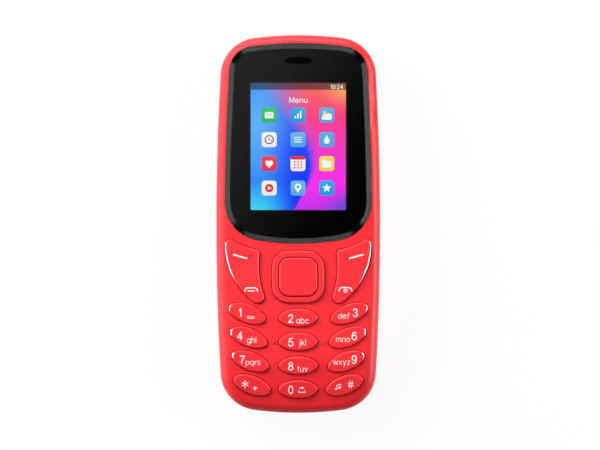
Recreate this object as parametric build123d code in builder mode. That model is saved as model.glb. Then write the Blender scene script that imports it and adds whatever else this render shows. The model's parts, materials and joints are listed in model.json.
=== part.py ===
from build123d import *
from math import cos, radians, sin
import os

os.makedirs("parts", exist_ok=True)

# Feature phone lying on its back, in millimetres.
# X runs across the phone, Y towards its top end and Z out of its screen.
# The origin is on the back face, under the middle of the outline.

# Outline of the body, seen from the front
body_length = 107.5
body_width = 46.6
side_radius = 748.0
head_radius = 99.0
foot_radius = 93.0
head_corner_radius = 11.0
foot_corner_radius = 11.0

# Front surface: flat, then bending down at the chin
chin_radius = 75.0
chin_length = 19.8
chin_sweep_degrees = 30.0
front_edge_radius = 3.0
front_wall = 1.2
front_side_wall = 1.4

# Battery cover and the seam round the middle
cover_wall = 1.2
cover_side_wall = 1.3
cover_edge_radius = 4.8
cover_rim_height = 6.4
seam_gap = 0.1
cover_to_frame_gap = 0.2
pry_notch_length = 9.0
pry_notch_height = 0.7
pry_notch_share = -0.33

# Battery and its bay
battery_width = 34.0
battery_length = 53.0
battery_thickness = 4.3
battery_edge_radius = 0.6
battery_foot_margin = 16.25
battery_clearance = 0.3
battery_lift_gap = 0.1
bay_wall = 1.0
bay_floor = 0.8

# Rear frame
frame_back_wall = 0.9
frame_side_wall = 1.0
frame_side_gap = 0.2
side_pocket_width = 1.6
side_pocket_length = 38.0
board_pad_height = 0.4

# Main board, display and window stack
board_thickness = 0.8
board_to_wall_gap = 0.3
display_thickness = 2.5
gasket_thickness = 0.2
ledge_thickness = 1.0
ledge_margin = 0.9
recess_wall = 0.8
tape_thickness = 0.15
tape_inset = 0.3
film_thickness = 0.1
film_inset = 0.15
window_thickness = 1.65
window_rise = 0.5
window_gap = 0.1
window_length = 56.75
window_rim = 2.5
window_bevel = 1.45
window_bevel_drop = 0.42
window_foot_radius = 69.0
window_head_corner_radius = 7.1
window_foot_corner_radius = 11.0

# Display
screen_width = 27.0
screen_length = 36.0
screen_head_margin = 11.2
screen_reveal = 0.3
glass_width = 30.6
glass_length = 41.5
glass_thickness = 1.1
glass_offset = 1.4
glass_gap = 0.1
backlight_thickness = 0.6
display_frame_wall = 1.0
gasket_width = 1.0
flex_width = 13.0
flex_length = 2.4
flex_thickness = 0.15

# Earpiece
ear_slot_width = 7.8
ear_slot_height = 2.1
ear_margin = 4.95
receiver_width = 12.0
receiver_length = 5.6
receiver_gap = 0.1
mesh_thickness = 0.12
mesh_margin = 0.7
mesh_gap = 0.05

# Keys: shared values
key_gap = 0.2
key_rise = 0.65
key_edge_radius = 0.5
flange_width = 0.4
flange_thickness = 0.5
flange_gap = 0.1
rocker_flange_gap = 0.6
plunger_radius = 1.2
dome_gap = 0.32
wing_dome_gap = 0.2

# Number keys: three columns and four rows of ellipses
key_half_length = 5.5
key_half_height = 2.62
side_key_tilt = 21.0
row_pitch = 6.76
rows = 4
keypad_foot_margin = 6.97
side_key_margin = 3.33
side_column_step = 0.45
side_column_lift = 1.2

# Navigation ring and the key inside it
nav_to_window = 1.97
ring_half_size = 7.43
ring_bow = 0.3
ring_corner_radius = 4.6
ring_rise = 0.75
ring_edge_radius = 0.45
ok_half_size = 5.5
ok_bow = 0.15
ok_corner_radius = 2.9
ok_rise = 0.85
ok_foot_lift = 0.3
carrier_gap = 0.4
carrier_thickness = 0.6
carrier_half_size = 7.3
carrier_hole_half_size = 4.0
carrier_corner_radius = 2.5
nav_nub_radius = 0.9
nav_nub_reach = 6.1
nav_dome_gap = 0.25

# Wing keys: three round edges, placed in shares of the outer one
wing_margin = 2.66
wing_lift = 8.94
wing_outer_curve = 20.36
wing_top_curve = 17.9
wing_inner_curve = 23.59
wing_top_centre_shares = (0.4057, 0.803)
wing_inner_centre_shares = (-0.6267, -0.3001)
wing_outer_radius = 1.45
wing_inner_radius = 1.2
wing_tip_radius = 1.9
wing_plunger_radius = 1.0
wing_plunger_shares = ((0.765, -0.1675), (0.614, -0.63))

# Locating bumps beside the middle column
bump_radius = 0.55
bump_height = 0.25
bump_spread = 7.1

# Keypad mat, dome film and snap domes
mat_to_wall_gap = 1.5
mat_to_flex_gap = 0.6
mat_foot_margin = 4.55
mat_thickness = 0.5
mat_rim_width = 0.9
mat_hole_gap = 0.35
sheet_thickness = 0.08
dome_radius = 2.0
dome_height = 0.2
dome_metal = 0.06
dome_foot_width = 0.25
mat_over_dome = 0.17
led_length = 1.6
led_width = 0.8
led_height = 0.35
led_gap = 0.2

# Case screws
screw_radius = 0.7
screw_head_radius = 1.1
screw_head_height = 0.8
screw_length = 5.4
screw_well_depth = 3.0
screw_recess_width = 1.3
screw_recess_bar = 0.35
screw_recess_depth = 0.45
screw_clearance = 0.15
pilot_clearance = 0.02
pilot_extra = 0.3
boss_radius = 1.5
tube_wall = 0.9
upper_screw_side_margin = 7.7
upper_screw_head_margin = 6.35
middle_screw_side_margin = 3.55
middle_screw_setback = 3.3
lower_screw_side_margin = 4.2
lower_screw_foot_margin = 12.75

# Camera and its window on the back
camera_head_margin = 11.55
camera_size = 6.8
camera_height = 3.4
camera_barrel_radius = 2.4
camera_barrel_length = 0.7
camera_eye_radius = 1.3
camera_eye_depth = 0.4
camera_bezel_radius = 4.0
camera_bezel_recess = 0.2
camera_window_radius = 2.9
camera_window_thickness = 0.5
camera_window_gap = 0.05
camera_aperture_radius = 2.2
camera_gap = 0.25

# Loudspeaker and its grille
speaker_margin = 3.6
speaker_depth = 3.2
speaker_ring_height = 0.5
speaker_ring_width = 1.2
grille_slot_share = 1.2
grille_slot_width = 1.0
grille_pitch_share = 0.3
grille_slots = 5
sound_hole_radius = 0.55
sound_hole_ring_share = 0.5
sound_holes = 8

# Vibration motor
motor_to_speaker = 4.8
motor_margin = 8.2
motor_radius = 2.0
motor_length = 8.0
motor_gap = 0.1
motor_shaft_radius = 0.4
motor_shaft_length = 3.4
weight_radius = 1.9
weight_hub_radius = 0.8
weight_length = 2.6
weight_gap = 0.4
weight_bore_clearance = 0.03
cradle_width = 1.2
cradle_height = 1.4

# Shield can and processor on the underside of the board
shield_to_speaker = 1.8
shield_margin = 3.95
shield_width = 9.6
shield_head_margin = 9.5
shield_height = 1.5
shield_metal = 0.2
chip_size = 7.5
chip_height = 1.0
chip_margin = 1.4

# Card holders over the battery
sim_width = 14.6
sim_length = 16.0
sim_spacing = 2.0
sim_foot_margin = 7.0
memory_width = 13.0
memory_length = 14.0
memory_margin = 5.0
holder_metal = 0.25
holder_gap = 0.3
card_slot_margin = 1.2

# Battery connector
connector_width = 10.0
connector_depth = 2.6
connector_height = 4.2
connector_gap = 0.15
contact_width = 1.2
contact_height = 1.0
contact_pitch = 2.6
contact_reach = 0.15
contacts = 3

# Sockets and microphone in the lower end
port_setback = 1.6
port_gap = 0.2
usb_x = 9.5
usb_width = 7.6
usb_height = 2.7
usb_depth = 6.0
usb_metal = 0.3
usb_chamfer = 0.7
usb_tongue_width = 4.2
usb_tongue_height = 0.6
usb_tongue_setback = 0.6
jack_x = -9.5
jack_width = 6.4
jack_depth = 12.2
jack_bore_radius = 1.8
jack_bore_end = 0.7
jack_nose_radius = 2.3
jack_nose_length = 3.6
microphone_radius = 1.2
microphone_depth = 1.5
microphone_boot_wall = 0.5
microphone_boot_gap = 0.05
microphone_setback = 0.3
microphone_hole_radius = 0.6
microphone_inlet_radius = 0.4
microphone_inlet_depth = 0.3

# Torch in the upper end
torch_radius = 1.35
torch_lift = 0.75
torch_gap = 0.05
torch_setback = 0.1
torch_led_width = 2.8
torch_led_depth = 1.2
torch_led_height = 1.3
torch_led_gap = 0.2

# Antenna strip on the back of the frame
antenna_width = 22.0
antenna_length = 7.2
antenna_strip = 1.6
antenna_thickness = 0.12
antenna_foot_margin = 6.55

# Overrun that lets a cut pass right through what it cuts, and a tolerance for telling heights apart
overrun = 1.0
height_tolerance = 0.01
halfway_share = 0.5

# Heights that follow from the stack
frame_back_z = cover_wall + cover_to_frame_gap
battery_front_z = frame_back_z + battery_thickness
bay_floor_z = battery_front_z + battery_lift_gap
frame_front_z = bay_floor_z + bay_floor
chamber_z = frame_back_z + frame_back_wall
board_back_z = frame_front_z + board_pad_height
board_front_z = board_back_z + board_thickness
display_front_z = board_front_z + display_thickness
ledge_back_z = display_front_z + gasket_thickness
ledge_front_z = ledge_back_z + ledge_thickness
film_back_z = ledge_front_z + tape_thickness
window_back_z = film_back_z + film_thickness
surface_z = window_back_z + window_thickness - window_rise
housing_rim_z = cover_rim_height + seam_gap
dome_foot_z = board_front_z + sheet_thickness
dome_top_z = dome_foot_z + dome_height
mat_back_z = dome_top_z + mat_over_dome
mat_front_z = mat_back_z + mat_thickness
tall_z = surface_z + front_edge_radius
screw_seat_z = frame_back_z + screw_well_depth
ring_foot_z = surface_z - front_wall - rocker_flange_gap - flange_thickness
carrier_front_z = ring_foot_z - carrier_gap
carrier_back_z = carrier_front_z - carrier_thickness

# Plan positions that follow from the outline
half_length = body_length / 2
half_width = body_width / 2
window_head_y = half_length - window_rim
window_foot_y = window_head_y - window_length
screen_y = window_head_y - screen_head_margin - screen_length / 2
ear_y = window_head_y - ear_margin
glass_y = screen_y - glass_offset
display_frame_width = glass_width + 2 * (glass_gap + display_frame_wall)
display_frame_length = glass_length + 2 * (glass_gap + display_frame_wall)
display_foot_y = glass_y - display_frame_length / 2
nav_y = window_foot_y - nav_to_window - ring_half_size
last_row_y = keypad_foot_margin - half_length
side_column_x = half_width - side_key_margin - key_half_length
chin_start_y = chin_length - half_length
chin_axis_z = surface_z - chin_radius
mat_head_y = display_foot_y - flex_length - mat_to_flex_gap
mat_foot_y = mat_foot_margin - half_length
frame_inset = cover_side_wall + frame_side_gap
board_inset = front_side_wall + board_to_wall_gap
battery_foot_y = battery_foot_margin - half_length
battery_y = battery_foot_y + battery_length / 2
battery_head_y = battery_foot_y + battery_length
bay_head_y = battery_head_y + battery_clearance
upper_chamber_y = bay_head_y + bay_wall
lower_chamber_y = battery_foot_y - battery_clearance - bay_wall
bay_half_width = battery_width / 2 + battery_clearance
port_y = port_setback - half_length
jack_z = board_back_z - jack_nose_radius
usb_z = board_back_z - usb_height / 2
boot_radius = microphone_radius + microphone_boot_wall
microphone_z = board_back_z - microphone_boot_gap - boot_radius
microphone_y = frame_inset + frame_side_wall + microphone_setback - half_length
camera_y = half_length - camera_head_margin
camera_foot_y = camera_y - camera_size / 2
speaker_y = (camera_foot_y + upper_chamber_y) / 2
speaker_radius = (camera_foot_y - upper_chamber_y) / 2 - speaker_margin
motor_x = speaker_radius + motor_to_speaker + motor_radius
motor_y = upper_chamber_y + motor_margin
motor_z = chamber_z + motor_gap + motor_radius
shield_x = -speaker_radius - shield_to_speaker - shield_width / 2
shield_foot_y = upper_chamber_y + shield_margin
shield_length = half_length - shield_head_margin - shield_foot_y
shield_y = shield_foot_y + shield_length / 2
sim_x = (sim_width + sim_spacing) / 2
sim_y = battery_foot_y + sim_foot_margin + sim_length / 2
memory_y = sim_y + (sim_length + memory_length) / 2 + memory_margin
torch_z = board_front_z + torch_lift


def plane_across(x, y, z):
    """A plane across the phone, its normal along +Y and its own upright along +Z."""
    return Plane((x, y, z), x_dir=(-1, 0, 0), z_dir=(0, 1, 0))


def body_outline(inset):
    """The body seen from the front, drawn in by inset: four large arcs with rounded corners."""
    with BuildSketch() as outline:
        with Locations((side_radius - half_width, 0)):
            Circle(side_radius - inset)
        with Locations(Location((half_width - side_radius, 0), 180)):
            Circle(side_radius - inset, mode=Mode.INTERSECT)
        with Locations((0, half_length - head_radius)):
            Circle(head_radius - inset, mode=Mode.INTERSECT)
        with Locations((0, foot_radius - half_length)):
            Circle(foot_radius - inset, mode=Mode.INTERSECT)
        fillet(outline.vertices().sort_by(Axis.Y)[:2], foot_corner_radius - inset)
        fillet(outline.vertices().sort_by(Axis.Y)[-2:], head_corner_radius - inset)
    return outline.sketch


def window_outline(inset):
    """The window seen from the front, drawn in by inset; a negative inset lets it grow."""
    rim = window_rim + inset
    with BuildSketch() as outline:
        with Locations((side_radius - half_width, 0)):
            Circle(side_radius - rim)
        with Locations(Location((half_width - side_radius, 0), 180)):
            Circle(side_radius - rim, mode=Mode.INTERSECT)
        with Locations((0, half_length - head_radius)):
            Circle(head_radius - rim, mode=Mode.INTERSECT)
        with Locations((0, window_foot_y + window_foot_radius)):
            Circle(window_foot_radius - inset, mode=Mode.INTERSECT)
        fillet(outline.vertices().sort_by(Axis.Y)[:2], window_foot_corner_radius - inset)
        fillet(outline.vertices().sort_by(Axis.Y)[-2:], window_head_corner_radius - inset)
    return outline.sketch


def key_place(column, row):
    """Centre and tilt of a number key; column runs from -1 to 1, row from 0 at the top."""
    upwards = (rows - 1 - row) * row_pitch
    if column == 0:
        return 0, last_row_y + upwards, 0
    x = column * (side_column_x - row * side_column_step)
    return x, last_row_y + side_column_lift + upwards, column * side_key_tilt


def key_outline(column, row, growth):
    """The ellipse of one number key."""
    x, y, tilt = key_place(column, row)
    with BuildSketch() as outline:
        with Locations((x, y)):
            Ellipse(key_half_length + growth, key_half_height + growth, rotation=tilt)
    return outline.sketch


def wing_point(shares, side):
    """A point placed from the middle of a wing key's outer curve, in shares of its radius."""
    x = half_width - wing_margin - wing_outer_curve + shares[0] * wing_outer_curve
    return side * x, nav_y + wing_lift + shares[1] * wing_outer_curve


def wing_outline(side, growth):
    """A wing key: what one round edge leaves of the disc when two others have bitten into it."""
    with BuildSketch() as outline:
        with Locations(wing_point((0, 0), -1)):
            Circle(wing_outer_curve + growth)
        with Locations(wing_point(wing_top_centre_shares, -1)):
            Circle(wing_top_curve - growth, mode=Mode.SUBTRACT)
        with Locations(wing_point(wing_inner_centre_shares, -1)):
            Circle(wing_inner_curve - growth, mode=Mode.SUBTRACT)
        with Locations((-half_width, 0)):
            Rectangle(body_width, body_length, mode=Mode.INTERSECT)
        corners = outline.vertices().sort_by(Axis.Y)
        for corner, radius in zip(corners, (wing_tip_radius, wing_inner_radius, wing_outer_radius)):
            nearest = outline.vertices().sort_by_distance(corner)[0]
            fillet(nearest, radius + growth)
        if side > 0:
            mirror(about=Plane.YZ, mode=Mode.REPLACE)
    return outline.sketch


def soft_square(half_size, bow, corner_radius):
    """A rounded square with bowed sides, centred on the navigation keys."""
    reach = half_size - bow
    corners = [(-reach, -reach), (reach, -reach), (reach, reach), (-reach, reach)]
    middles = [(0, -half_size), (half_size, 0), (0, half_size), (-half_size, 0)]
    with BuildSketch() as outline:
        with BuildLine():
            for start, middle, finish in zip(corners, middles, corners[1:] + corners[:1]):
                ThreePointArc(
                    (start[0], nav_y + start[1]),
                    (middle[0], nav_y + middle[1]),
                    (finish[0], nav_y + finish[1]),
                )
        make_face()
        fillet(outline.vertices(), corner_radius)
    return outline.sketch


def ring_outline(growth):
    """The outside of the navigation ring."""
    return soft_square(ring_half_size + growth, ring_bow, ring_corner_radius + growth)


def ok_outline(growth):
    """The key in the middle of the navigation ring."""
    return soft_square(ok_half_size + growth, ok_bow, ok_corner_radius + growth)


def keypad_area(wall_gap):
    """The part of the body's outline that the keypad sheets cover."""
    with BuildSketch() as area:
        add(body_outline(front_side_wall + wall_gap))
        with Locations((0, (mat_head_y + mat_foot_y) / 2)):
            Rectangle(body_width, mat_head_y - mat_foot_y, mode=Mode.INTERSECT)
        with Locations(*screw_places):
            Circle(boss_radius + mat_hole_gap, mode=Mode.SUBTRACT)
    return area.sketch


def raised(outline, foot_z, top_z):
    """An outline raised from one height to another."""
    with BuildPart() as block:
        with BuildSketch(Plane.XY.offset(foot_z)):
            add(outline)
        extrude(amount=top_z - foot_z)
    return block.part


def slab(width, length, x, y, foot_z, top_z):
    """A block with its plan centred on x and y, between two heights."""
    with BuildPart() as block:
        with BuildSketch(Plane.XY.offset(foot_z)):
            with Locations((x, y)):
                Rectangle(width, length)
        extrude(amount=top_z - foot_z)
    return block.part


def post(radius, x, y, foot_z, top_z):
    """A round post between two heights."""
    with BuildPart() as block:
        with BuildSketch(Plane.XY.offset(foot_z)):
            with Locations((x, y)):
                Circle(radius)
        extrude(amount=top_z - foot_z)
    return block.part


def under_surface(raised_by):
    """All space below the front surface, raised along its normal, or lowered if negative."""
    front_z = surface_z + raised_by
    bend = chin_radius + raised_by
    chin_end_y = chin_start_y - bend * sin(radians(chin_sweep_degrees))
    chin_end_z = chin_axis_z + bend * cos(radians(chin_sweep_degrees))
    with BuildPart() as space:
        with BuildSketch(Plane.YZ):
            with BuildLine():
                Line((body_length, 0), (body_length, front_z))
                Line((body_length, front_z), (chin_start_y, front_z))
                RadiusArc((chin_start_y, front_z), (chin_end_y, chin_end_z), -bend)
                Line((chin_end_y, chin_end_z), (chin_end_y, 0))
                Line((chin_end_y, 0), (body_length, 0))
            make_face()
        extrude(amount=body_width, both=True)
    return space.part


def upper_edges(shape, foot_z):
    """Where a top surface meets the sides, leaving out the line across it at the chin."""
    chosen = ShapeList()
    for edge in shape.edges():
        points = [edge @ 0, edge @ halfway_share, edge @ 1]
        on_line = all(abs(point.Y - chin_start_y) < height_tolerance for point in points)
        if min(point.Z for point in points) > foot_z + height_tolerance and not on_line:
            chosen.append(edge)
    return chosen


def front_form(inset, lowered, edge_radius):
    """The body above its seam, with its outline drawn in and its front surface lowered."""
    with BuildPart() as form:
        with BuildSketch(Plane.XY.offset(housing_rim_z)):
            add(body_outline(inset))
        extrude(amount=tall_z - housing_rim_z)
        add(under_surface(-lowered), mode=Mode.INTERSECT)
        fillet(upper_edges(form, housing_rim_z), edge_radius)
    return form.part


def back_form(inset, lifted, top_z):
    """The body below its seam, with its outline drawn in and its back face lifted."""
    with BuildPart() as form:
        with BuildSketch(Plane.XY.offset(lifted)):
            add(body_outline(inset))
        extrude(amount=top_z - lifted)
        fillet(form.edges().group_by(Axis.Z)[0], cover_edge_radius - inset)
    return form.part


def cap(outline, space, edge_radius):
    """A key's upper part, cut to its own top surface and softened round its rim."""
    with BuildPart() as block:
        with BuildSketch(Plane.XY.offset(mat_front_z)):
            add(outline)
        extrude(amount=tall_z - mat_front_z)
        add(space, mode=Mode.INTERSECT)
        fillet(upper_edges(block, mat_front_z), edge_radius)
    return block.part


def flange(outline, front_space, back_space):
    """The rim of a key that lies under the front wall and keeps the key in."""
    with BuildPart() as block:
        with BuildSketch(Plane.XY.offset(mat_front_z)):
            add(outline)
        extrude(amount=tall_z - mat_front_z)
        add(front_space, mode=Mode.INTERSECT)
        add(back_space, mode=Mode.SUBTRACT)
    return block.part


# Surfaces that the keys and the parts round them share
key_top_space = under_surface(key_rise)
flange_front_space = under_surface(-front_wall - flange_gap)
flange_back_space = under_surface(-front_wall - flange_gap - flange_thickness)
rocker_front_space = under_surface(-front_wall - rocker_flange_gap)
rocker_back_space = under_surface(-front_wall - rocker_flange_gap - flange_thickness)

# Places that several pieces share
sides = (-1, 1)
columns = (-1, 0, 1)
key_names = ("1", "2", "3", "4", "5", "6", "7", "8", "9", "star", "0", "hash")
screw_rows = (
    (half_width - upper_screw_side_margin, half_length - upper_screw_head_margin),
    (half_width - middle_screw_side_margin, upper_chamber_y - middle_screw_setback),
    (half_width - lower_screw_side_margin, lower_screw_foot_margin - half_length),
)
screw_places = [(side * x, y) for x, y in screw_rows for side in sides]
key_places = [key_place(column, row)[:2] for row in range(rows) for column in columns]
wing_places = [wing_point(shares, side) for side in sides for shares in wing_plunger_shares]
nub_places = [
    (0, nav_y + nav_nub_reach),
    (nav_nub_reach, nav_y),
    (0, nav_y - nav_nub_reach),
    (-nav_nub_reach, nav_y),
]
bump_places = [(side * bump_spread, key_place(0, 1)[1]) for side in sides]
led_places = []
for row in range(rows - 1):
    for side in sides:
        led_places.append((side * bump_spread, key_place(0, row)[1] - row_pitch / 2))

# Ways through the walls for the sockets in the lower end
jack_way_radius = jack_nose_radius + port_gap
with BuildPart() as jack_way:
    with BuildSketch(plane_across(jack_x, -half_length - overrun, jack_z)):
        Circle(jack_way_radius)
    extrude(amount=port_setback + overrun + jack_nose_length + port_gap)
with BuildPart() as jack_slot:
    add(jack_way.part)
    with BuildSketch(plane_across(jack_x, -half_length - overrun, jack_z)):
        with Locations((0, board_back_z - jack_z)):
            Rectangle(2 * jack_way_radius, 2 * (board_back_z - jack_z))
    extrude(amount=port_setback + overrun + jack_nose_length + port_gap)
with BuildPart() as usb_way:
    with BuildSketch(plane_across(usb_x, -half_length - overrun, usb_z)):
        Rectangle(usb_width + 2 * port_gap, usb_height + 2 * port_gap)
    extrude(amount=port_setback + overrun + usb_depth + port_gap)
with BuildPart() as microphone_way:
    with BuildSketch(plane_across(0, -half_length - overrun, microphone_z)):
        Circle(microphone_hole_radius)
    extrude(amount=overrun + microphone_y + half_length)

# The ledge under the window, as deep as the front housing carries it
with BuildPart() as ledge:
    add(raised(window_outline(-window_gap - recess_wall), ledge_back_z, tall_z))
    add(front_form(front_wall / 2, front_wall / 2, front_edge_radius), mode=Mode.INTERSECT)

# Front housing
with BuildPart() as front_housing:
    add(front_form(0, 0, front_edge_radius))
    add(
        front_form(front_side_wall, front_wall, front_edge_radius - front_side_wall),
        mode=Mode.SUBTRACT,
    )
    add(ledge.part)
    for x, y in screw_places:
        add(post(boss_radius, x, y, board_front_z, surface_z - front_wall))
    add(raised(window_outline(-window_gap), ledge_front_z, tall_z), mode=Mode.SUBTRACT)
    with BuildSketch(Plane.XY.offset(ledge_back_z)):
        with Locations((0, screen_y)):
            Rectangle(screen_width + 2 * ledge_margin, screen_length + 2 * ledge_margin)
        with Locations((0, ear_y)):
            Ellipse(ear_slot_width / 2, ear_slot_height / 2)
    extrude(amount=2 * ledge_thickness, mode=Mode.SUBTRACT)
    with BuildSketch(Plane.XY.offset(ledge_front_z)):
        with Locations((0, ear_y)):
            Ellipse(
                ear_slot_width / 2 + mesh_margin + mesh_gap,
                ear_slot_height / 2 + mesh_margin + mesh_gap,
            )
    extrude(amount=-mesh_thickness - mesh_gap, mode=Mode.SUBTRACT)
    for side in sides:
        add(raised(wing_outline(side, key_gap), mat_front_z, tall_z), mode=Mode.SUBTRACT)
    add(raised(ring_outline(key_gap), mat_front_z, tall_z), mode=Mode.SUBTRACT)
    for column in columns:
        for row in range(rows):
            add(raised(key_outline(column, row, key_gap), mat_front_z, tall_z), mode=Mode.SUBTRACT)
    pilot_end_z = screw_seat_z + screw_length + pilot_extra
    with BuildSketch(Plane.XY.offset(board_front_z)):
        with Locations(*screw_places):
            Circle(screw_radius + pilot_clearance)
    extrude(amount=pilot_end_z - board_front_z, mode=Mode.SUBTRACT)
    add(jack_way.part, mode=Mode.SUBTRACT)
    add(usb_way.part, mode=Mode.SUBTRACT)
    with BuildSketch(plane_across(0, half_length + overrun, torch_z)):
        Circle(torch_radius + torch_gap)
    extrude(amount=-2 * front_side_wall - overrun, mode=Mode.SUBTRACT)
    with BuildSketch(Plane.XY.offset(surface_z + bump_height)):
        with Locations(*bump_places):
            Circle(bump_radius)
    extrude(amount=-bump_height - front_wall / 2)
front_housing.part.label = "front_housing"
export_step(front_housing.part, "parts/front_housing.step")

# Window over the display, with its bevelled rim
with BuildPart() as display_lens:
    with BuildSketch(Plane.XY.offset(window_back_z)):
        add(window_outline(0))
    extrude(amount=tall_z - window_back_z)
    add(under_surface(window_rise), mode=Mode.INTERSECT)
    top_face = display_lens.faces().sort_by(Axis.Z)[-1]
    chamfer(
        upper_edges(display_lens, window_back_z),
        length=window_bevel,
        length2=window_bevel_drop,
        reference=top_face,
    )
    with BuildSketch(Plane.XY.offset(window_back_z)):
        with Locations((0, ear_y)):
            Ellipse(ear_slot_width / 2, ear_slot_height / 2)
    extrude(amount=tall_z - window_back_z, mode=Mode.SUBTRACT)
display_lens.part.label = "display_lens"
export_step(display_lens.part, "parts/display_lens.step")

# Black printed layer under the window, clear over the screen
with BuildPart() as lens_print_film:
    with BuildSketch(Plane.XY.offset(film_back_z)):
        add(window_outline(film_inset))
        with Locations((0, screen_y)):
            Rectangle(
                screen_width + 2 * screen_reveal,
                screen_length + 2 * screen_reveal,
                mode=Mode.SUBTRACT,
            )
        with Locations((0, ear_y)):
            Ellipse(ear_slot_width / 2, ear_slot_height / 2, mode=Mode.SUBTRACT)
    extrude(amount=film_thickness)
lens_print_film.part.label = "lens_print_film"
export_step(lens_print_film.part, "parts/lens_print_film.step")

# Tape that holds the window on its ledge
with BuildPart() as lens_tape:
    with BuildSketch(Plane.XY.offset(ledge_front_z)):
        add(window_outline(tape_inset))
        with Locations((0, screen_y)):
            Rectangle(
                screen_width + 2 * ledge_margin,
                screen_length + 2 * ledge_margin,
                mode=Mode.SUBTRACT,
            )
        with Locations((0, ear_y)):
            Ellipse(ear_slot_width / 2, ear_slot_height / 2, mode=Mode.SUBTRACT)
    extrude(amount=tape_thickness)
lens_tape.part.label = "lens_tape"
export_step(lens_tape.part, "parts/lens_tape.step")

# Mesh in the earpiece slot
with BuildPart() as earpiece_mesh:
    with BuildSketch(Plane.XY.offset(ledge_front_z - mesh_thickness - mesh_gap)):
        with Locations((0, ear_y)):
            Ellipse(ear_slot_width / 2 + mesh_margin, ear_slot_height / 2 + mesh_margin)
    extrude(amount=mesh_thickness)
earpiece_mesh.part.label = "earpiece_mesh"
export_step(earpiece_mesh.part, "parts/earpiece_mesh.step")

# Foam gasket between the display and the ledge
with BuildPart() as lcd_gasket:
    with BuildSketch(Plane.XY.offset(display_front_z)):
        with Locations((0, screen_y)):
            Rectangle(
                screen_width + 2 * (ledge_margin + gasket_width),
                screen_length + 2 * (ledge_margin + gasket_width),
            )
            Rectangle(
                screen_width + 2 * ledge_margin,
                screen_length + 2 * ledge_margin,
                mode=Mode.SUBTRACT,
            )
    extrude(amount=gasket_thickness)
lcd_gasket.part.label = "lcd_gasket"
export_step(lcd_gasket.part, "parts/lcd_gasket.step")

# Display glass
with BuildPart() as lcd_panel:
    with BuildSketch(Plane.XY.offset(display_front_z - glass_thickness)):
        with Locations((0, glass_y)):
            Rectangle(glass_width, glass_length)
    extrude(amount=glass_thickness)
lcd_panel.part.label = "lcd_panel"
export_step(lcd_panel.part, "parts/lcd_panel.step")

# Light guide behind the glass
with BuildPart() as backlight:
    with BuildSketch(Plane.XY.offset(display_front_z - glass_thickness - backlight_thickness)):
        with Locations((0, glass_y)):
            Rectangle(glass_width, glass_length)
    extrude(amount=backlight_thickness)
backlight.part.label = "backlight"
export_step(backlight.part, "parts/backlight.step")

# Frame that carries the glass and its light guide on the board
with BuildPart() as lcd_frame:
    add(
        slab(display_frame_width, display_frame_length, 0, glass_y, board_front_z, display_front_z)
    )
    add(
        slab(
            glass_width + 2 * glass_gap,
            glass_length + 2 * glass_gap,
            0,
            glass_y,
            display_front_z - glass_thickness - backlight_thickness,
            tall_z,
        ),
        mode=Mode.SUBTRACT,
    )
lcd_frame.part.label = "lcd_frame"
export_step(lcd_frame.part, "parts/lcd_frame.step")

# Ribbon from the display, lying on the board
with BuildPart() as lcd_flex:
    flex_y = display_foot_y - flex_length / 2
    add(slab(flex_width, flex_length, 0, flex_y, board_front_z, board_front_z + flex_thickness))
lcd_flex.part.label = "lcd_flex"
export_step(lcd_flex.part, "parts/lcd_flex.step")

# Earpiece speaker between the board and the ledge
with BuildPart() as receiver:
    with BuildSketch(Plane.XY.offset(board_front_z + receiver_gap)):
        with Locations((0, ear_y)):
            SlotOverall(receiver_width, receiver_length)
    extrude(amount=ledge_back_z - board_front_z - receiver_gap)
receiver.part.label = "receiver"
export_step(receiver.part, "parts/receiver.step")

# Snap dome film, laid on the board
with BuildPart() as dome_film:
    with BuildSketch(Plane.XY.offset(board_front_z)):
        add(keypad_area(mat_to_wall_gap))
        with Locations(*led_places):
            Rectangle(led_length + 2 * led_gap, led_width + 2 * led_gap, mode=Mode.SUBTRACT)
    extrude(amount=sheet_thickness)
dome_film.part.label = "dome_film"
export_step(dome_film.part, "parts/dome_film.step")

# Snap domes: one under each number key and the middle key, two under each wing, four round the ring
with BuildPart() as dome:
    outer_curve = (dome_radius**2 + dome_height**2) / (2 * dome_height)
    inner_height = dome_height - dome_metal
    inner_reach = dome_radius - dome_foot_width
    inner_curve = (inner_reach**2 + inner_height**2) / (2 * inner_height)
    with BuildSketch(Plane.XZ):
        with BuildLine():
            RadiusArc((0, dome_height), (dome_radius, 0), outer_curve)
            Line((dome_radius, 0), (inner_reach, 0))
            RadiusArc((inner_reach, 0), (0, inner_height), -inner_curve)
            Line((0, inner_height), (0, dome_height))
        make_face()
    revolve(axis=Axis.Z)
dome_solid = dome.part.moved(Location((0, 0, dome_foot_z)))
with BuildPart() as metal_domes:
    with Locations(*key_places, *wing_places, *nub_places, (0, nav_y)):
        add(dome_solid)
metal_domes.part.label = "metal_domes"
export_step(metal_domes.part, "parts/metal_domes.step")

# Lamps that light the keys
with BuildPart() as keypad_leds:
    with BuildSketch(Plane.XY.offset(board_front_z)):
        with Locations(*led_places):
            Rectangle(led_length, led_width)
    extrude(amount=led_height)
keypad_leds.part.label = "keypad_leds"
export_step(keypad_leds.part, "parts/keypad_leds.step")

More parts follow.
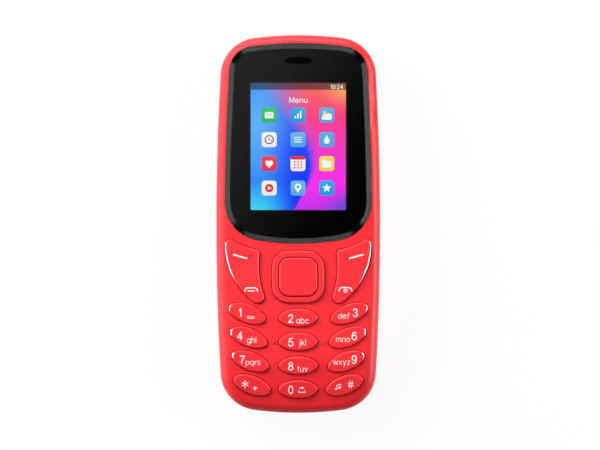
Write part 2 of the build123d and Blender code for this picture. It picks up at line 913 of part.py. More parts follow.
# Keypad mat: a sheet over the domes on a rim, open where each key reaches its dome
with BuildPart() as keypad_rubber:
    with BuildSketch(Plane.XY.offset(mat_back_z)):
        add(keypad_area(mat_to_wall_gap))
        with Locations(*key_places, (0, nav_y)):
            Circle(plunger_radius + mat_hole_gap, mode=Mode.SUBTRACT)
        with Locations(*wing_places):
            Circle(wing_plunger_radius + mat_hole_gap, mode=Mode.SUBTRACT)
        with Locations(*nub_places):
            Circle(nav_nub_radius + mat_hole_gap, mode=Mode.SUBTRACT)
    extrude(amount=mat_thickness)
    with BuildSketch(Plane.XY.offset(dome_foot_z)):
        add(keypad_area(mat_to_wall_gap))
        add(keypad_area(mat_to_wall_gap + mat_rim_width), mode=Mode.SUBTRACT)
    extrude(amount=mat_back_z - dome_foot_z)
keypad_rubber.part.label = "keypad_rubber"
export_step(keypad_rubber.part, "parts/keypad_rubber.step")

# Number keys: each has its cap, its flange and the plunger over its dome
plunger_foot_z = dome_top_z + dome_gap
plunger_head_z = surface_z - front_wall
for index, key_name in enumerate(key_names):
    row, position = divmod(index, len(columns))
    column = columns[position]
    with BuildPart() as number_key:
        add(cap(key_outline(column, row, 0), key_top_space, key_edge_radius))
        add(flange_back_space, mode=Mode.SUBTRACT)
        add(flange(key_outline(column, row, flange_width), flange_front_space, flange_back_space))
        add(post(plunger_radius, *key_place(column, row)[:2], plunger_foot_z, plunger_head_z))
    number_key.part.label = f"key_{key_name}"
    export_step(number_key.part, f"parts/key_{key_name}.step")

# Wing keys: rockers with a plunger under each end
for side, side_name in zip(sides, ("left", "right")):
    with BuildPart() as wing_key:
        add(cap(wing_outline(side, 0), key_top_space, key_edge_radius))
        add(rocker_back_space, mode=Mode.SUBTRACT)
        add(flange(wing_outline(side, flange_width), rocker_front_space, rocker_back_space))
        for shares in wing_plunger_shares:
            foot_z = dome_top_z + wing_dome_gap
            add(post(wing_plunger_radius, *wing_point(shares, side), foot_z, plunger_head_z))
    wing_key.part.label = f"{side_name}_wing_key"
    export_step(wing_key.part, f"parts/{side_name}_wing_key.step")

# Navigation ring
with BuildPart() as nav_ring:
    add(cap(ring_outline(0), under_surface(ring_rise), ring_edge_radius))
    add(rocker_back_space, mode=Mode.SUBTRACT)
    add(flange(ring_outline(flange_width), rocker_front_space, rocker_back_space))
    add(raised(ok_outline(key_gap), mat_front_z, tall_z), mode=Mode.SUBTRACT)
nav_ring.part.label = "nav_ring"
export_step(nav_ring.part, "parts/nav_ring.step")

# Middle key
with BuildPart() as ok_key:
    add(cap(ok_outline(0), under_surface(ok_rise), key_edge_radius))
    ok_foot_z = ring_foot_z + ok_foot_lift
    add(slab(body_width, body_width, 0, nav_y, 0, ok_foot_z), mode=Mode.SUBTRACT)
    add(post(plunger_radius, 0, nav_y, plunger_foot_z, plunger_head_z))
ok_key.part.label = "ok_key"
export_step(ok_key.part, "parts/ok_key.step")

# Rubber pad that carries the ring, with a nub over each of its four domes
with BuildPart() as nav_rubber:
    with BuildSketch(Plane.XY.offset(carrier_back_z)):
        with Locations((0, nav_y)):
            RectangleRounded(2 * carrier_half_size, 2 * carrier_half_size, carrier_corner_radius)
            Rectangle(2 * carrier_hole_half_size, 2 * carrier_hole_half_size, mode=Mode.SUBTRACT)
    extrude(amount=carrier_thickness)
    nub_foot_z = dome_top_z + nav_dome_gap
    with BuildSketch(Plane.XY.offset(nub_foot_z)):
        with Locations(*nub_places):
            Circle(nav_nub_radius)
    extrude(amount=carrier_back_z - nub_foot_z)
nav_rubber.part.label = "nav_rubber"
export_step(nav_rubber.part, "parts/nav_rubber.step")

# Main board
with BuildPart() as main_board:
    with BuildSketch(Plane.XY.offset(board_back_z)):
        add(body_outline(board_inset))
        with Locations(*screw_places):
            Circle(screw_radius + screw_clearance, mode=Mode.SUBTRACT)
    extrude(amount=board_thickness)
main_board.part.label = "main_board"
export_step(main_board.part, "parts/main_board.step")

# Shield can, open towards the board, with the processor inside it
with BuildPart() as shield_can:
    shield_foot_z = board_back_z - shield_height
    add(slab(shield_width, shield_length, shield_x, shield_y, shield_foot_z, board_back_z))
    add(
        slab(
            shield_width - 2 * shield_metal,
            shield_length - 2 * shield_metal,
            shield_x,
            shield_y,
            shield_foot_z + shield_metal,
            tall_z,
        ),
        mode=Mode.SUBTRACT,
    )
shield_can.part.label = "shield_can"
export_step(shield_can.part, "parts/shield_can.step")

with BuildPart() as processor_chip:
    chip_y = shield_y + (shield_length - chip_size) / 2 - chip_margin
    add(slab(chip_size, chip_size, shield_x, chip_y, board_back_z - chip_height, board_back_z))
processor_chip.part.label = "processor_chip"
export_step(processor_chip.part, "parts/processor_chip.step")

# Battery connector, standing in a slot of the bay's wall, and its contacts
connector_foot_z = board_back_z - connector_height
with BuildPart() as battery_connector:
    connector_y = bay_head_y + connector_depth / 2
    add(slab(connector_width, connector_depth, 0, connector_y, connector_foot_z, board_back_z))
battery_connector.part.label = "battery_connector"
export_step(battery_connector.part, "parts/battery_connector.step")

with BuildPart() as battery_contacts:
    with BuildSketch(plane_across(0, bay_head_y, connector_foot_z + contact_height)):
        with GridLocations(contact_pitch, 0, contacts, 1):
            Rectangle(contact_width, contact_height)
    extrude(amount=-contact_reach)
battery_contacts.part.label = "battery_contacts"
export_step(battery_contacts.part, "parts/battery_contacts.step")

# Card holders: each is a sleeve open towards the foot of the phone
card_holders = (
    ("sim_holder_1", sim_width, sim_length, -sim_x, sim_y),
    ("sim_holder_2", sim_width, sim_length, sim_x, sim_y),
    ("memory_card_holder", memory_width, memory_length, sim_x, memory_y),
)
for holder_name, width, length, x, y in card_holders:
    with BuildPart() as card_holder:
        add(slab(width, length, x, y, bay_floor_z, board_back_z))
        add(
            slab(
                width - 2 * card_slot_margin,
                length,
                x,
                y - card_slot_margin,
                bay_floor_z + holder_metal,
                board_back_z - holder_metal,
            ),
            mode=Mode.SUBTRACT,
        )
    card_holder.part.label = holder_name
    export_step(card_holder.part, f"parts/{holder_name}.step")

# Charging port: a metal shell with a tongue inside
with BuildPart() as usb_port:
    with BuildSketch(plane_across(usb_x, port_y, usb_z)) as shell_section:
        Rectangle(usb_width, usb_height)
        chamfer(shell_section.vertices().sort_by(Axis.Y)[:2], usb_chamfer)
    extrude(amount=usb_depth)
    with BuildSketch(plane_across(usb_x, port_y, usb_z)):
        add(shell_section.sketch_local)
        offset(amount=-usb_metal, mode=Mode.REPLACE)
    extrude(amount=usb_depth - usb_metal, mode=Mode.SUBTRACT)
    with BuildSketch(plane_across(usb_x, port_y + usb_tongue_setback, usb_z)):
        Rectangle(usb_tongue_width, usb_tongue_height)
    extrude(amount=usb_depth - usb_tongue_setback)
usb_port.part.label = "usb_port"
export_step(usb_port.part, "parts/usb_port.step")

# Headphone socket: a block with a round nose and a bore
with BuildPart() as headphone_jack:
    jack_body_length = jack_depth - jack_nose_length
    jack_body_y = port_y + jack_nose_length + jack_body_length / 2
    jack_foot_z = jack_z - jack_nose_radius
    add(slab(jack_width, jack_body_length, jack_x, jack_body_y, jack_foot_z, board_back_z))
    with BuildSketch(plane_across(jack_x, port_y, jack_z)):
        Circle(jack_nose_radius)
    extrude(amount=jack_nose_length)
    with BuildSketch(plane_across(jack_x, port_y, jack_z)):
        Circle(jack_bore_radius)
    extrude(amount=jack_depth - jack_bore_end, mode=Mode.SUBTRACT)
headphone_jack.part.label = "headphone_jack"
export_step(headphone_jack.part, "parts/headphone_jack.step")

# Microphone in its rubber boot
with BuildPart() as mic_boot:
    with BuildSketch(plane_across(0, microphone_y, microphone_z)):
        Circle(boot_radius)
    extrude(amount=microphone_boot_wall + microphone_depth)
    with BuildSketch(plane_across(0, microphone_y + microphone_boot_wall, microphone_z)):
        Circle(microphone_radius)
    extrude(amount=microphone_depth, mode=Mode.SUBTRACT)
    with BuildSketch(plane_across(0, microphone_y, microphone_z)):
        Circle(microphone_hole_radius)
    extrude(amount=microphone_boot_wall, mode=Mode.SUBTRACT)
mic_boot.part.label = "mic_boot"
export_step(mic_boot.part, "parts/mic_boot.step")

with BuildPart() as microphone:
    with BuildSketch(plane_across(0, microphone_y + microphone_boot_wall, microphone_z)):
        Circle(microphone_radius)
    extrude(amount=microphone_depth)
    with BuildSketch(plane_across(0, microphone_y + microphone_boot_wall, microphone_z)):
        Circle(microphone_inlet_radius)
    extrude(amount=microphone_inlet_depth, mode=Mode.SUBTRACT)
microphone.part.label = "microphone"
export_step(microphone.part, "parts/microphone.step")

# Loudspeaker, facing the back on a foam ring
with BuildPart() as loudspeaker:
    cone_z = chamber_z + speaker_ring_height
    add(post(speaker_radius, 0, speaker_y, cone_z, cone_z + speaker_depth))
    add(post(speaker_radius, 0, speaker_y, chamber_z, cone_z))
    add(
        post(speaker_radius - speaker_ring_width, 0, speaker_y, chamber_z, cone_z),
        mode=Mode.SUBTRACT,
    )
loudspeaker.part.label = "loudspeaker"
export_step(loudspeaker.part, "parts/loudspeaker.step")

# Vibration motor and the weight on its shaft
motor_head_y = motor_y + motor_length / 2
with BuildPart() as vibrator_motor:
    with BuildSketch(plane_across(motor_x, motor_y - motor_length / 2, motor_z)):
        Circle(motor_radius)
    extrude(amount=motor_length)
    with BuildSketch(plane_across(motor_x, motor_head_y, motor_z)):
        Circle(motor_shaft_radius)
    extrude(amount=motor_shaft_length)
vibrator_motor.part.label = "vibrator_motor"
export_step(vibrator_motor.part, "parts/vibrator_motor.step")

with BuildPart() as vibrator_weight:
    with BuildSketch(plane_across(motor_x, motor_head_y + weight_gap, motor_z)):
        Circle(weight_radius)
        with Locations((0, weight_radius)):
            Rectangle(2 * weight_radius, 2 * weight_radius, mode=Mode.SUBTRACT)
        Circle(weight_hub_radius)
        Circle(motor_shaft_radius + weight_bore_clearance, mode=Mode.SUBTRACT)
    extrude(amount=weight_length)
vibrator_weight.part.label = "vibrator_weight"
export_step(vibrator_weight.part, "parts/vibrator_weight.step")

# Camera, looking out of the back
camera_foot_z = board_back_z - camera_height
barrel_foot_z = camera_foot_z - camera_barrel_length
with BuildPart() as camera_module:
    add(slab(camera_size, camera_size, 0, camera_y, camera_foot_z, board_back_z))
    add(post(camera_barrel_radius, 0, camera_y, barrel_foot_z, camera_foot_z))
    add(
        post(camera_eye_radius, 0, camera_y, barrel_foot_z, barrel_foot_z + camera_eye_depth),
        mode=Mode.SUBTRACT,
    )
camera_module.part.label = "camera_module"
export_step(camera_module.part, "parts/camera_module.step")

with BuildPart() as camera_window:
    camera_seat_z = camera_bezel_recess + camera_window_thickness
    add(post(camera_window_radius, 0, camera_y, camera_bezel_recess, camera_seat_z))
camera_window.part.label = "camera_window"
export_step(camera_window.part, "parts/camera_window.step")

# Torch: a lamp at the head of the board behind its own lens
with BuildPart() as torch_led:
    torch_led_y = half_length - board_inset - torch_led_gap - torch_led_depth / 2
    led_head_z = board_front_z + torch_led_height
    add(slab(torch_led_width, torch_led_depth, 0, torch_led_y, board_front_z, led_head_z))
torch_led.part.label = "torch_led"
export_step(torch_led.part, "parts/torch_led.step")

with BuildPart() as torch_lens:
    with BuildSketch(plane_across(0, half_length - front_side_wall, torch_z)):
        Circle(torch_radius)
    extrude(amount=front_side_wall - torch_setback)
torch_lens.part.label = "torch_lens"
export_step(torch_lens.part, "parts/torch_lens.step")

# Room inside the rear frame, above and below the battery bay
with BuildPart() as chambers:
    add(back_form(frame_inset + frame_side_wall, chamber_z, frame_front_z + overrun))
    middle_y = (upper_chamber_y + lower_chamber_y) / 2
    middle_length = upper_chamber_y - lower_chamber_y
    add(slab(body_width, middle_length, 0, middle_y, 0, tall_z), mode=Mode.SUBTRACT)

# Tubes that the case screws pass through, trimmed to the frame's side
with BuildPart() as screw_tubes:
    with BuildSketch(Plane.XY.offset(chamber_z)):
        with Locations(*screw_places):
            Circle(screw_head_radius + screw_clearance + tube_wall)
    extrude(amount=board_back_z - chamber_z)
    add(back_form(frame_inset, frame_back_z, board_back_z), mode=Mode.INTERSECT)

# Rear frame
with BuildPart() as rear_frame:
    add(back_form(frame_inset, frame_back_z, frame_front_z))
    add(chambers.part, mode=Mode.SUBTRACT)
    bay_length = battery_length + 2 * battery_clearance
    add(
        slab(2 * bay_half_width, bay_length, 0, battery_y, frame_back_z - overrun, bay_floor_z),
        mode=Mode.SUBTRACT,
    )
    pocket_x = (bay_half_width + bay_wall + half_width - frame_inset - frame_side_wall) / 2
    pocket_foot_z = frame_back_z + battery_thickness / 2
    for side in sides:
        add(
            slab(
                side_pocket_width,
                side_pocket_length,
                side * pocket_x,
                battery_y,
                pocket_foot_z,
                tall_z,
            ),
            mode=Mode.SUBTRACT,
        )
    add(screw_tubes.part)
    with BuildSketch(Plane.XY.offset(frame_back_z - overrun)):
        with Locations(*screw_places):
            Circle(screw_head_radius + screw_clearance)
    extrude(amount=screw_well_depth + overrun, mode=Mode.SUBTRACT)
    with BuildSketch(Plane.XY.offset(frame_back_z)):
        with Locations(*screw_places):
            Circle(screw_radius + screw_clearance)
    extrude(amount=board_back_z - frame_back_z, mode=Mode.SUBTRACT)
    with BuildSketch(Plane.XY.offset(frame_back_z)):
        with Locations((0, camera_y)):
            Circle(camera_barrel_radius + camera_gap)
        with Locations((0, speaker_y)):
            Circle(sound_hole_radius)
            with PolarLocations(sound_hole_ring_share * speaker_radius, sound_holes):
                Circle(sound_hole_radius)
    extrude(amount=frame_back_wall, mode=Mode.SUBTRACT)
    with BuildSketch(Plane.XY.offset(bay_floor_z)):
        for _, width, length, x, y in card_holders:
            with Locations((x, y)):
                Rectangle(width + 2 * holder_gap, length + 2 * holder_gap)
    extrude(amount=bay_floor, mode=Mode.SUBTRACT)
    add(
        slab(
            connector_width + 2 * connector_gap,
            bay_wall,
            0,
            bay_head_y + bay_wall / 2,
            connector_foot_z - connector_gap,
            frame_front_z,
        ),
        mode=Mode.SUBTRACT,
    )
    add(jack_slot.part, mode=Mode.SUBTRACT)
    add(usb_way.part, mode=Mode.SUBTRACT)
    add(microphone_way.part, mode=Mode.SUBTRACT)
    cradle_x = motor_radius + motor_gap + cradle_width / 2
    with BuildSketch(Plane.XY.offset(chamber_z)):
        with Locations((motor_x, motor_y)):
            with GridLocations(2 * cradle_x, 0, 2, 1):
                Rectangle(cradle_width, motor_length)
    extrude(amount=cradle_height)
rear_frame.part.label = "rear_frame"
export_step(rear_frame.part, "parts/rear_frame.step")

# Case screws, with a cross in each head
with BuildPart() as screw:
    add(post(screw_head_radius, 0, 0, screw_seat_z - screw_head_height, screw_seat_z))
    add(post(screw_radius, 0, 0, screw_seat_z, screw_seat_z + screw_length))
    with BuildSketch(Plane.XY.offset(screw_seat_z - screw_head_height)):
        Rectangle(screw_recess_width, screw_recess_bar)
        Rectangle(screw_recess_bar, screw_recess_width)
    extrude(amount=screw_recess_depth, mode=Mode.SUBTRACT)
with BuildPart() as case_screws:
    with Locations(*screw_places):
        add(screw.part)
case_screws.part.label = "case_screws"
export_step(case_screws.part, "parts/case_screws.step")

# Battery
with BuildPart() as battery:
    add(slab(battery_width, battery_length, 0, battery_y, frame_back_z, battery_front_z))
    fillet(battery.edges(), battery_edge_radius)
battery.part.label = "battery"
export_step(battery.part, "parts/battery.step")

# Antenna: a loop of foil on the back of the frame, open on one side
with BuildPart() as antenna:
    antenna_y = antenna_foot_margin + antenna_length / 2 - half_length
    with BuildSketch(Plane.XY.offset(frame_back_z)):
        with Locations((0, antenna_y)):
            Rectangle(antenna_width, antenna_length)
            Rectangle(
                antenna_width - 2 * antenna_strip,
                antenna_length - 2 * antenna_strip,
                mode=Mode.SUBTRACT,
            )
        with Locations((antenna_width / 4, antenna_y + antenna_length / 2)):
            Rectangle(antenna_strip, 2 * antenna_strip, mode=Mode.SUBTRACT)
    extrude(amount=-antenna_thickness)
antenna.part.label = "antenna"
export_step(antenna.part, "parts/antenna.step")

# Battery cover: the whole back of the phone
with BuildPart() as battery_cover:
    add(back_form(0, 0, cover_rim_height))
    add(
        back_form(cover_side_wall, cover_wall, cover_rim_height + overrun),
        mode=Mode.SUBTRACT,
    )
    add(jack_slot.part, mode=Mode.SUBTRACT)
    add(usb_way.part, mode=Mode.SUBTRACT)
    add(microphone_way.part, mode=Mode.SUBTRACT)
    add(post(camera_bezel_radius, 0, camera_y, 0, camera_bezel_recess), mode=Mode.SUBTRACT)
    seat_radius = camera_window_radius + camera_window_gap
    add(post(seat_radius, 0, camera_y, camera_bezel_recess, camera_seat_z), mode=Mode.SUBTRACT)
    add(post(camera_aperture_radius, 0, camera_y, camera_seat_z, cover_wall), mode=Mode.SUBTRACT)
    with BuildSketch():
        with Locations((0, speaker_y)):
            with GridLocations(0, grille_pitch_share * speaker_radius, 1, grille_slots):
                SlotOverall(grille_slot_share * speaker_radius, grille_slot_width)
    extrude(amount=cover_wall, mode=Mode.SUBTRACT)
    notch_y = pry_notch_share * body_length
    notch_foot_z = cover_rim_height - pry_notch_height
    add(
        slab(2 * cover_side_wall, pry_notch_length, -half_width, notch_y, notch_foot_z, tall_z),
        mode=Mode.SUBTRACT,
    )
battery_cover.part.label = "battery_cover"
export_step(battery_cover.part, "parts/battery_cover.step")
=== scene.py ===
import bpy
import json
import math
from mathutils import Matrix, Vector
from mathutils.geometry import delaunay_2d_cdt


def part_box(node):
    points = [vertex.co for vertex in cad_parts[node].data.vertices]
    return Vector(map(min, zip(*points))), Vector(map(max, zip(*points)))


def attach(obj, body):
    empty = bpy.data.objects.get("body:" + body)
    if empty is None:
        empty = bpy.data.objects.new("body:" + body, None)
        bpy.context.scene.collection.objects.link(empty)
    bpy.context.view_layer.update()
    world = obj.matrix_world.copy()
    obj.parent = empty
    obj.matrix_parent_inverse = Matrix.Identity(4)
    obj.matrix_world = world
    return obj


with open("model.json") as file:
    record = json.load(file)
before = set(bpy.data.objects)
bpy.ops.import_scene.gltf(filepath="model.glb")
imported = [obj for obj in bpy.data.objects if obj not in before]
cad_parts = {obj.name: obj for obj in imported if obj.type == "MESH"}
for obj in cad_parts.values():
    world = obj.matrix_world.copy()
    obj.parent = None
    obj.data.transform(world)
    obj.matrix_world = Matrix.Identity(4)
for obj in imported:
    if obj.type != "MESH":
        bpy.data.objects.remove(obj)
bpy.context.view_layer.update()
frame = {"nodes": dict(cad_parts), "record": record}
nodes = frame["nodes"]
slots = {part["node"]: part["material_slot"] for part in frame["record"]["subparts"]}

MM = 0.001

# The photograph: its size and the phone's middle in pixels, and millimetres of the phone in one pixel
PHOTO_WIDTH, PHOTO_HEIGHT = 600, 450
CENTRE_PX, CENTRE_PY = 298.25, 224.2
PIXEL = 0.284

# The enlarged crop that the legends are placed on: its corner in the photograph and its scale
CROP_X, CROP_Y, CROP_SCALE = 210.0, 210.0, 7.467

# Front surface and display, repeated from the model in millimetres
SURFACE_Z, CHIN_Y, CHIN_RADIUS = 12.9, -33.95, 75.0
KEY_RISE = 0.65
SCREEN_WIDTH, SCREEN_LENGTH, SCREEN_Y, SCREEN_Z = 27.0, 36.0, 22.05, 10.3

# Prints in millimetres: gap to the face they lie on, thickness, and gap of a mark underneath
PRINT_GAP, PRINT_THICKNESS, UNDER_GAP = 0.006, 0.02, 0.004


def linear(r, g, b):
    """A colour given as 0 to 255, as the shaders want it."""
    out = []
    for value in (r, g, b):
        value /= 255
        out.append(value / 12.92 if value <= 0.04045 else ((value + 0.055) / 1.055) ** 2.4)
    return (*out, 1.0)


# Node helpers
class Nodes:
    """A node tree with short calls; a value may be a number, a colour or another node's output."""

    def __init__(self, tree):
        self.tree = tree

    def feed(self, target, value):
        if isinstance(value, bpy.types.NodeSocket):
            self.tree.links.new(value, target)
        else:
            target.default_value = value

    def node(self, kind, values=(), **settings):
        made = self.tree.nodes.new(kind)
        for key, value in settings.items():
            setattr(made, key, value)
        for socket, value in dict(values).items():
            self.feed(made.inputs[socket], value)
        return made

    def math(self, operation, a, b=0.0):
        return self.node("ShaderNodeMath", {0: a, 1: b}, operation=operation).outputs[0]

    def times(self, *values):
        product = values[0]
        for value in values[1:]:
            product = self.math("MULTIPLY", product, value)
        return product

    def axes(self, vector):
        return self.node("ShaderNodeSeparateXYZ", {0: vector}).outputs

    def span(self, value, low, high, to_low=0.0, to_high=1.0, kind="LINEAR"):
        values = {"Value": value, "From Min": low, "From Max": high, "To Min": to_low, "To Max": to_high}
        return self.node("ShaderNodeMapRange", values, interpolation_type=kind).outputs[0]

    def fade(self, value, low, high, to_low=0.0, to_high=1.0):
        """A span with a soft start and end."""
        return self.span(value, low, high, to_low, to_high, "SMOOTHSTEP")


class Graph(Nodes):
    """A material with one principled shader."""

    def __init__(self, name):
        self.material = bpy.data.materials.new(name)
        self.material.use_nodes = True
        super().__init__(self.material.node_tree)
        self.shader = self.tree.nodes["Principled BSDF"]
        self.output = self.tree.nodes["Material Output"]
        self.coordinates = self.tree.nodes.new("ShaderNodeTexCoord").outputs
        self.place = self.coordinates["Object"]

    def noise(self, size_mm, detail=2.0, stretch=None):
        place = self.place
        if stretch:
            place = self.node("ShaderNodeMapping", {"Vector": place, "Scale": stretch}).outputs[0]
        values = {"Vector": place, "Scale": 1 / (size_mm * MM), "Detail": detail}
        return self.node("ShaderNodeTexNoise", values).outputs["Fac"]

    def ramp(self, value, *stops):
        made = self.node("ShaderNodeValToRGB", {"Fac": value})
        elements = made.color_ramp.elements
        while len(elements) < len(stops):
            elements.new(0.5)
        for element, (position, colour) in zip(elements, stops):
            element.position = position
            element.color = colour
        return made.outputs["Color"]

    def mix(self, factor, a, b):
        # Sockets 6 and 7 and output 2 are this node's colours
        return self.node("ShaderNodeMix", {0: factor, 6: a, 7: b}, data_type="RGBA").outputs[2]

    def set(self, **values):
        for key, value in values.items():
            self.feed(self.shader.inputs[key.replace("_", " ")], value)

    def bump(self, height, depth_mm, strength=1.0):
        values = {"Height": height, "Distance": depth_mm * MM, "Strength": strength}
        self.set(Normal=self.node("ShaderNodeBump", values).outputs["Normal"])

    def uneven(self, size_mm, detail, low, high):
        """A value that wanders between two limits."""
        return self.span(self.noise(size_mm, detail), 0.3, 0.7, low, high)


def shade(colour, factor):
    return (*[min(1.0, c * factor) for c in colour[:3]], 1.0)


def moulded(name, colour, rough, grain_mm, depth_mm, vary):
    """Moulded plastic or rubber: fine grain, slow changes of tone, uneven gloss."""
    g = Graph(name)
    tone = g.ramp(g.noise(9.0, 3.0), (0.3, shade(colour, 1 - vary)), (0.7, shade(colour, 1 + vary)))
    g.set(Base_Color=tone, Roughness=g.uneven(2.5, 4.0, rough * 0.93, rough * 1.07))
    g.bump(g.noise(grain_mm), depth_mm)
    return g.material


def metal(name, colour, rough, stretch=(1.0, 14.0, 14.0), depth_mm=0.002):
    """Rolled or brushed metal with marks along X."""
    g = Graph(name)
    marks = g.noise(1.2, 3.0, stretch)
    tone = g.ramp(g.noise(5.0), (0.3, shade(colour, 0.86)), (0.7, shade(colour, 1.06)))
    g.set(Base_Color=tone, Metallic=1.0, Roughness=g.span(marks, 0.3, 0.7, rough * 0.75, rough * 1.3))
    g.bump(marks, depth_mm)
    return g.material


def clear(name, tint, rough):
    """Clear or tinted moulded window, faintly uneven in its polish and duller on its tilted edge."""
    g = Graph(name)
    g.set(Base_Color=g.ramp(g.noise(12.0), (0.4, shade(tint, 0.98)), (0.6, tint)), IOR=1.49)
    polish = g.uneven(4.0, 3.0, rough * 0.6, rough * 1.4)
    edge = g.span(g.axes(g.coordinates["Normal"])["Z"], 0.93, 0.99, 0.26, 0.0)
    g.set(Roughness=g.math("MAXIMUM", polish, edge), Transmission_Weight=1.0)
    return g.material


def woven(name):
    """Fine wire mesh: two crossing waves."""
    g = Graph(name)
    waves = []
    for turn in (45.0, -45.0):
        turned = g.node("ShaderNodeMapping", {"Vector": g.place, "Rotation": (0, 0, math.radians(turn))})
        wave = g.node("ShaderNodeTexWave", {"Vector": turned.outputs[0], "Scale": 900.0}, wave_profile="SIN")
        waves.append(wave.outputs["Fac"])
    weave = g.math("MAXIMUM", *waves)
    g.set(Base_Color=g.ramp(weave, (0.45, linear(0, 0, 0)), (0.85, linear(7, 7, 8))))
    g.set(Roughness=g.span(weave, 0.0, 1.0, 0.8, 0.6), Specular_IOR_Level=0.12)
    g.bump(weave, 0.04)
    return g.material


def board():
    """Green solder mask with tracks, pads and vias showing."""
    g = Graph("board_green")
    brick = g.node("ShaderNodeTexBrick", {
        "Vector": g.place, "Scale": 260.0, "Mortar Size": 0.055, "Mortar Smooth": 0.1,
        "Color1": linear(10, 74, 44), "Color2": linear(14, 88, 52), "Mortar": linear(26, 120, 70)})
    cells = g.node("ShaderNodeTexVoronoi", {"Vector": g.place, "Scale": 420.0}, feature="F1")
    via = g.span(cells.outputs["Distance"], 0.10, 0.14, 1.0, 0.0)
    g.set(Base_Color=g.mix(via, brick.outputs["Color"], linear(206, 170, 92)), Metallic=via)
    g.set(Roughness=g.uneven(3.0, 2.0, 0.3, 0.42))
    g.bump(brick.outputs["Fac"], 0.03, 0.6)
    return g.material


def battery_wrap():
    """Shrink wrap: dark field with a paler plain label across the middle."""
    half_width, half_length, stripe_start = 14.1 * MM, 19.1 * MM, 14.6 * MM
    middle_y, soft = -11.0 * MM, 0.1 * MM
    g = Graph("battery_wrap")
    x, y, _ = g.axes(g.place)
    across = g.math("ABSOLUTE", x)
    along = g.math("ABSOLUTE", g.math("SUBTRACT", y, middle_y))
    inside = g.times(g.span(across, half_width - soft, half_width + soft, 1.0, 0.0),
                     g.span(along, half_length - soft, half_length + soft, 1.0, 0.0))
    stripe = g.times(inside, g.span(along, stripe_start - soft, stripe_start + soft))
    dark = g.ramp(g.noise(6.0, 3.0), (0.3, linear(44, 47, 52)), (0.7, linear(54, 57, 63)))
    pale = g.ramp(g.noise(4.0, 3.0), (0.3, linear(196, 198, 200)), (0.7, linear(202, 204, 206)))
    label = g.mix(inside, dark, pale)
    g.set(Base_Color=g.mix(stripe, label, linear(150, 38, 40)), Roughness=g.uneven(1.5, 3.0, 0.3, 0.45))
    g.bump(g.noise(0.8, 3.0), 0.02)
    return g.material


RED = linear(246, 44, 51)
# The keys' red is their own red made a little paler in green and blue. The paler part is painted sheen: it
# stands in for the haze that their glossier tops no longer mirror.
KEY_RED_WITH_PAINTED_SHEEN = linear(248, 52, 59)
STEEL = (0.62, 0.62, 0.61, 1.0)
finishes = {
    "red_plastic": moulded("red_plastic", RED, 0.36, 0.16, 0.003, 0.03),
    "key_plastic": moulded("key_plastic", KEY_RED_WITH_PAINTED_SHEEN, 0.13, 0.2, 0.0006, 0.03),
    "clear_window": clear("clear_window", (1.0, 1.0, 1.0, 1.0), 0.03),
    "tinted_window": clear("tinted_window", (0.3, 0.3, 0.34, 1.0), 0.03),
    "black_print": moulded("black_print", linear(5, 5, 6), 0.5, 0.05, 0.001, 0.2),
    "white_tape": moulded("white_tape", linear(30, 30, 31), 0.6, 0.3, 0.01, 0.05),
    "dark_mesh": woven("dark_mesh"),
    "black_foam": moulded("black_foam", linear(22, 22, 23), 0.95, 0.3, 0.05, 0.2),
    "display_glass": moulded("display_glass", linear(10, 11, 14), 0.15, 0.4, 0.001, 0.1),
    "light_guide": moulded("light_guide", linear(226, 232, 240), 0.3, 0.5, 0.01, 0.04),
    "white_frame": moulded("white_frame", linear(222, 222, 216), 0.45, 0.2, 0.005, 0.04),
    "amber_film": moulded("amber_film", linear(196, 128, 40), 0.3, 0.3, 0.005, 0.12),
    "steel_can": metal("steel_can", STEEL, 0.3),
    "clear_film": moulded("clear_film", linear(206, 210, 214), 0.25, 0.4, 0.004, 0.06),
    "dome_steel": metal("dome_steel", (0.72, 0.71, 0.69, 1.0), 0.2),
    "lamp_white": moulded("lamp_white", linear(240, 232, 176), 0.4, 0.15, 0.003, 0.06),
    "keypad_rubber": moulded("keypad_rubber", linear(120, 24, 26), 0.55, 0.12, 0.006, 0.06),
    "board_green": board(),
    "chip_black": moulded("chip_black", linear(30, 30, 32), 0.55, 0.1, 0.01, 0.15),
    "black_plastic": moulded("black_plastic", linear(28, 28, 30), 0.5, 0.15, 0.01, 0.15),
    "contact_gold": metal("contact_gold", (0.9, 0.66, 0.27, 1.0), 0.22),
    "black_rubber": moulded("black_rubber", linear(26, 26, 27), 0.8, 0.1, 0.01, 0.15),
    "speaker_black": moulded("speaker_black", linear(34, 34, 36), 0.6, 0.25, 0.02, 0.2),
    "weight_metal": metal("weight_metal", (0.36, 0.36, 0.37, 1.0), 0.5, (1.0, 1.0, 1.0), 0.01),
    "black_frame": moulded("black_frame", linear(33, 33, 35), 0.58, 0.2, 0.02, 0.12),
    "screw_steel": metal("screw_steel", (0.16, 0.16, 0.17, 1.0), 0.35, (1.0, 1.0, 1.0)),
    "battery_wrap": battery_wrap(),
    "antenna_copper": metal("antenna_copper", (0.85, 0.5, 0.26, 1.0), 0.3),
}
for node, thing in nodes.items():
    for slot in thing.material_slots:
        slot.material = finishes[slots[node]]

# Prints on the keys
print_white = moulded("legend_print", linear(240, 238, 238), 0.4, 0.08, 0.002, 0.04)
print_faint = moulded("legend_faint", linear(196, 30, 34), 0.4, 0.08, 0.002, 0.04)


def key_top(y):
    """Height of a key's top in millimetres, flat and then bending down over the chin."""
    if y >= CHIN_Y:
        return SURFACE_Z + KEY_RISE
    bend = CHIN_RADIUS + KEY_RISE
    return SURFACE_Z - CHIN_RADIUS + math.sqrt(bend * bend - (CHIN_Y - y) ** 2)


def crop_point(x, y):
    """A point of the enlarged crop in millimetres on the phone."""
    pixel_x = CROP_X + x / CROP_SCALE
    pixel_y = CROP_Y + y / CROP_SCALE
    return (pixel_x - CENTRE_PX) * PIXEL, (CENTRE_PY - pixel_y) * PIXEL


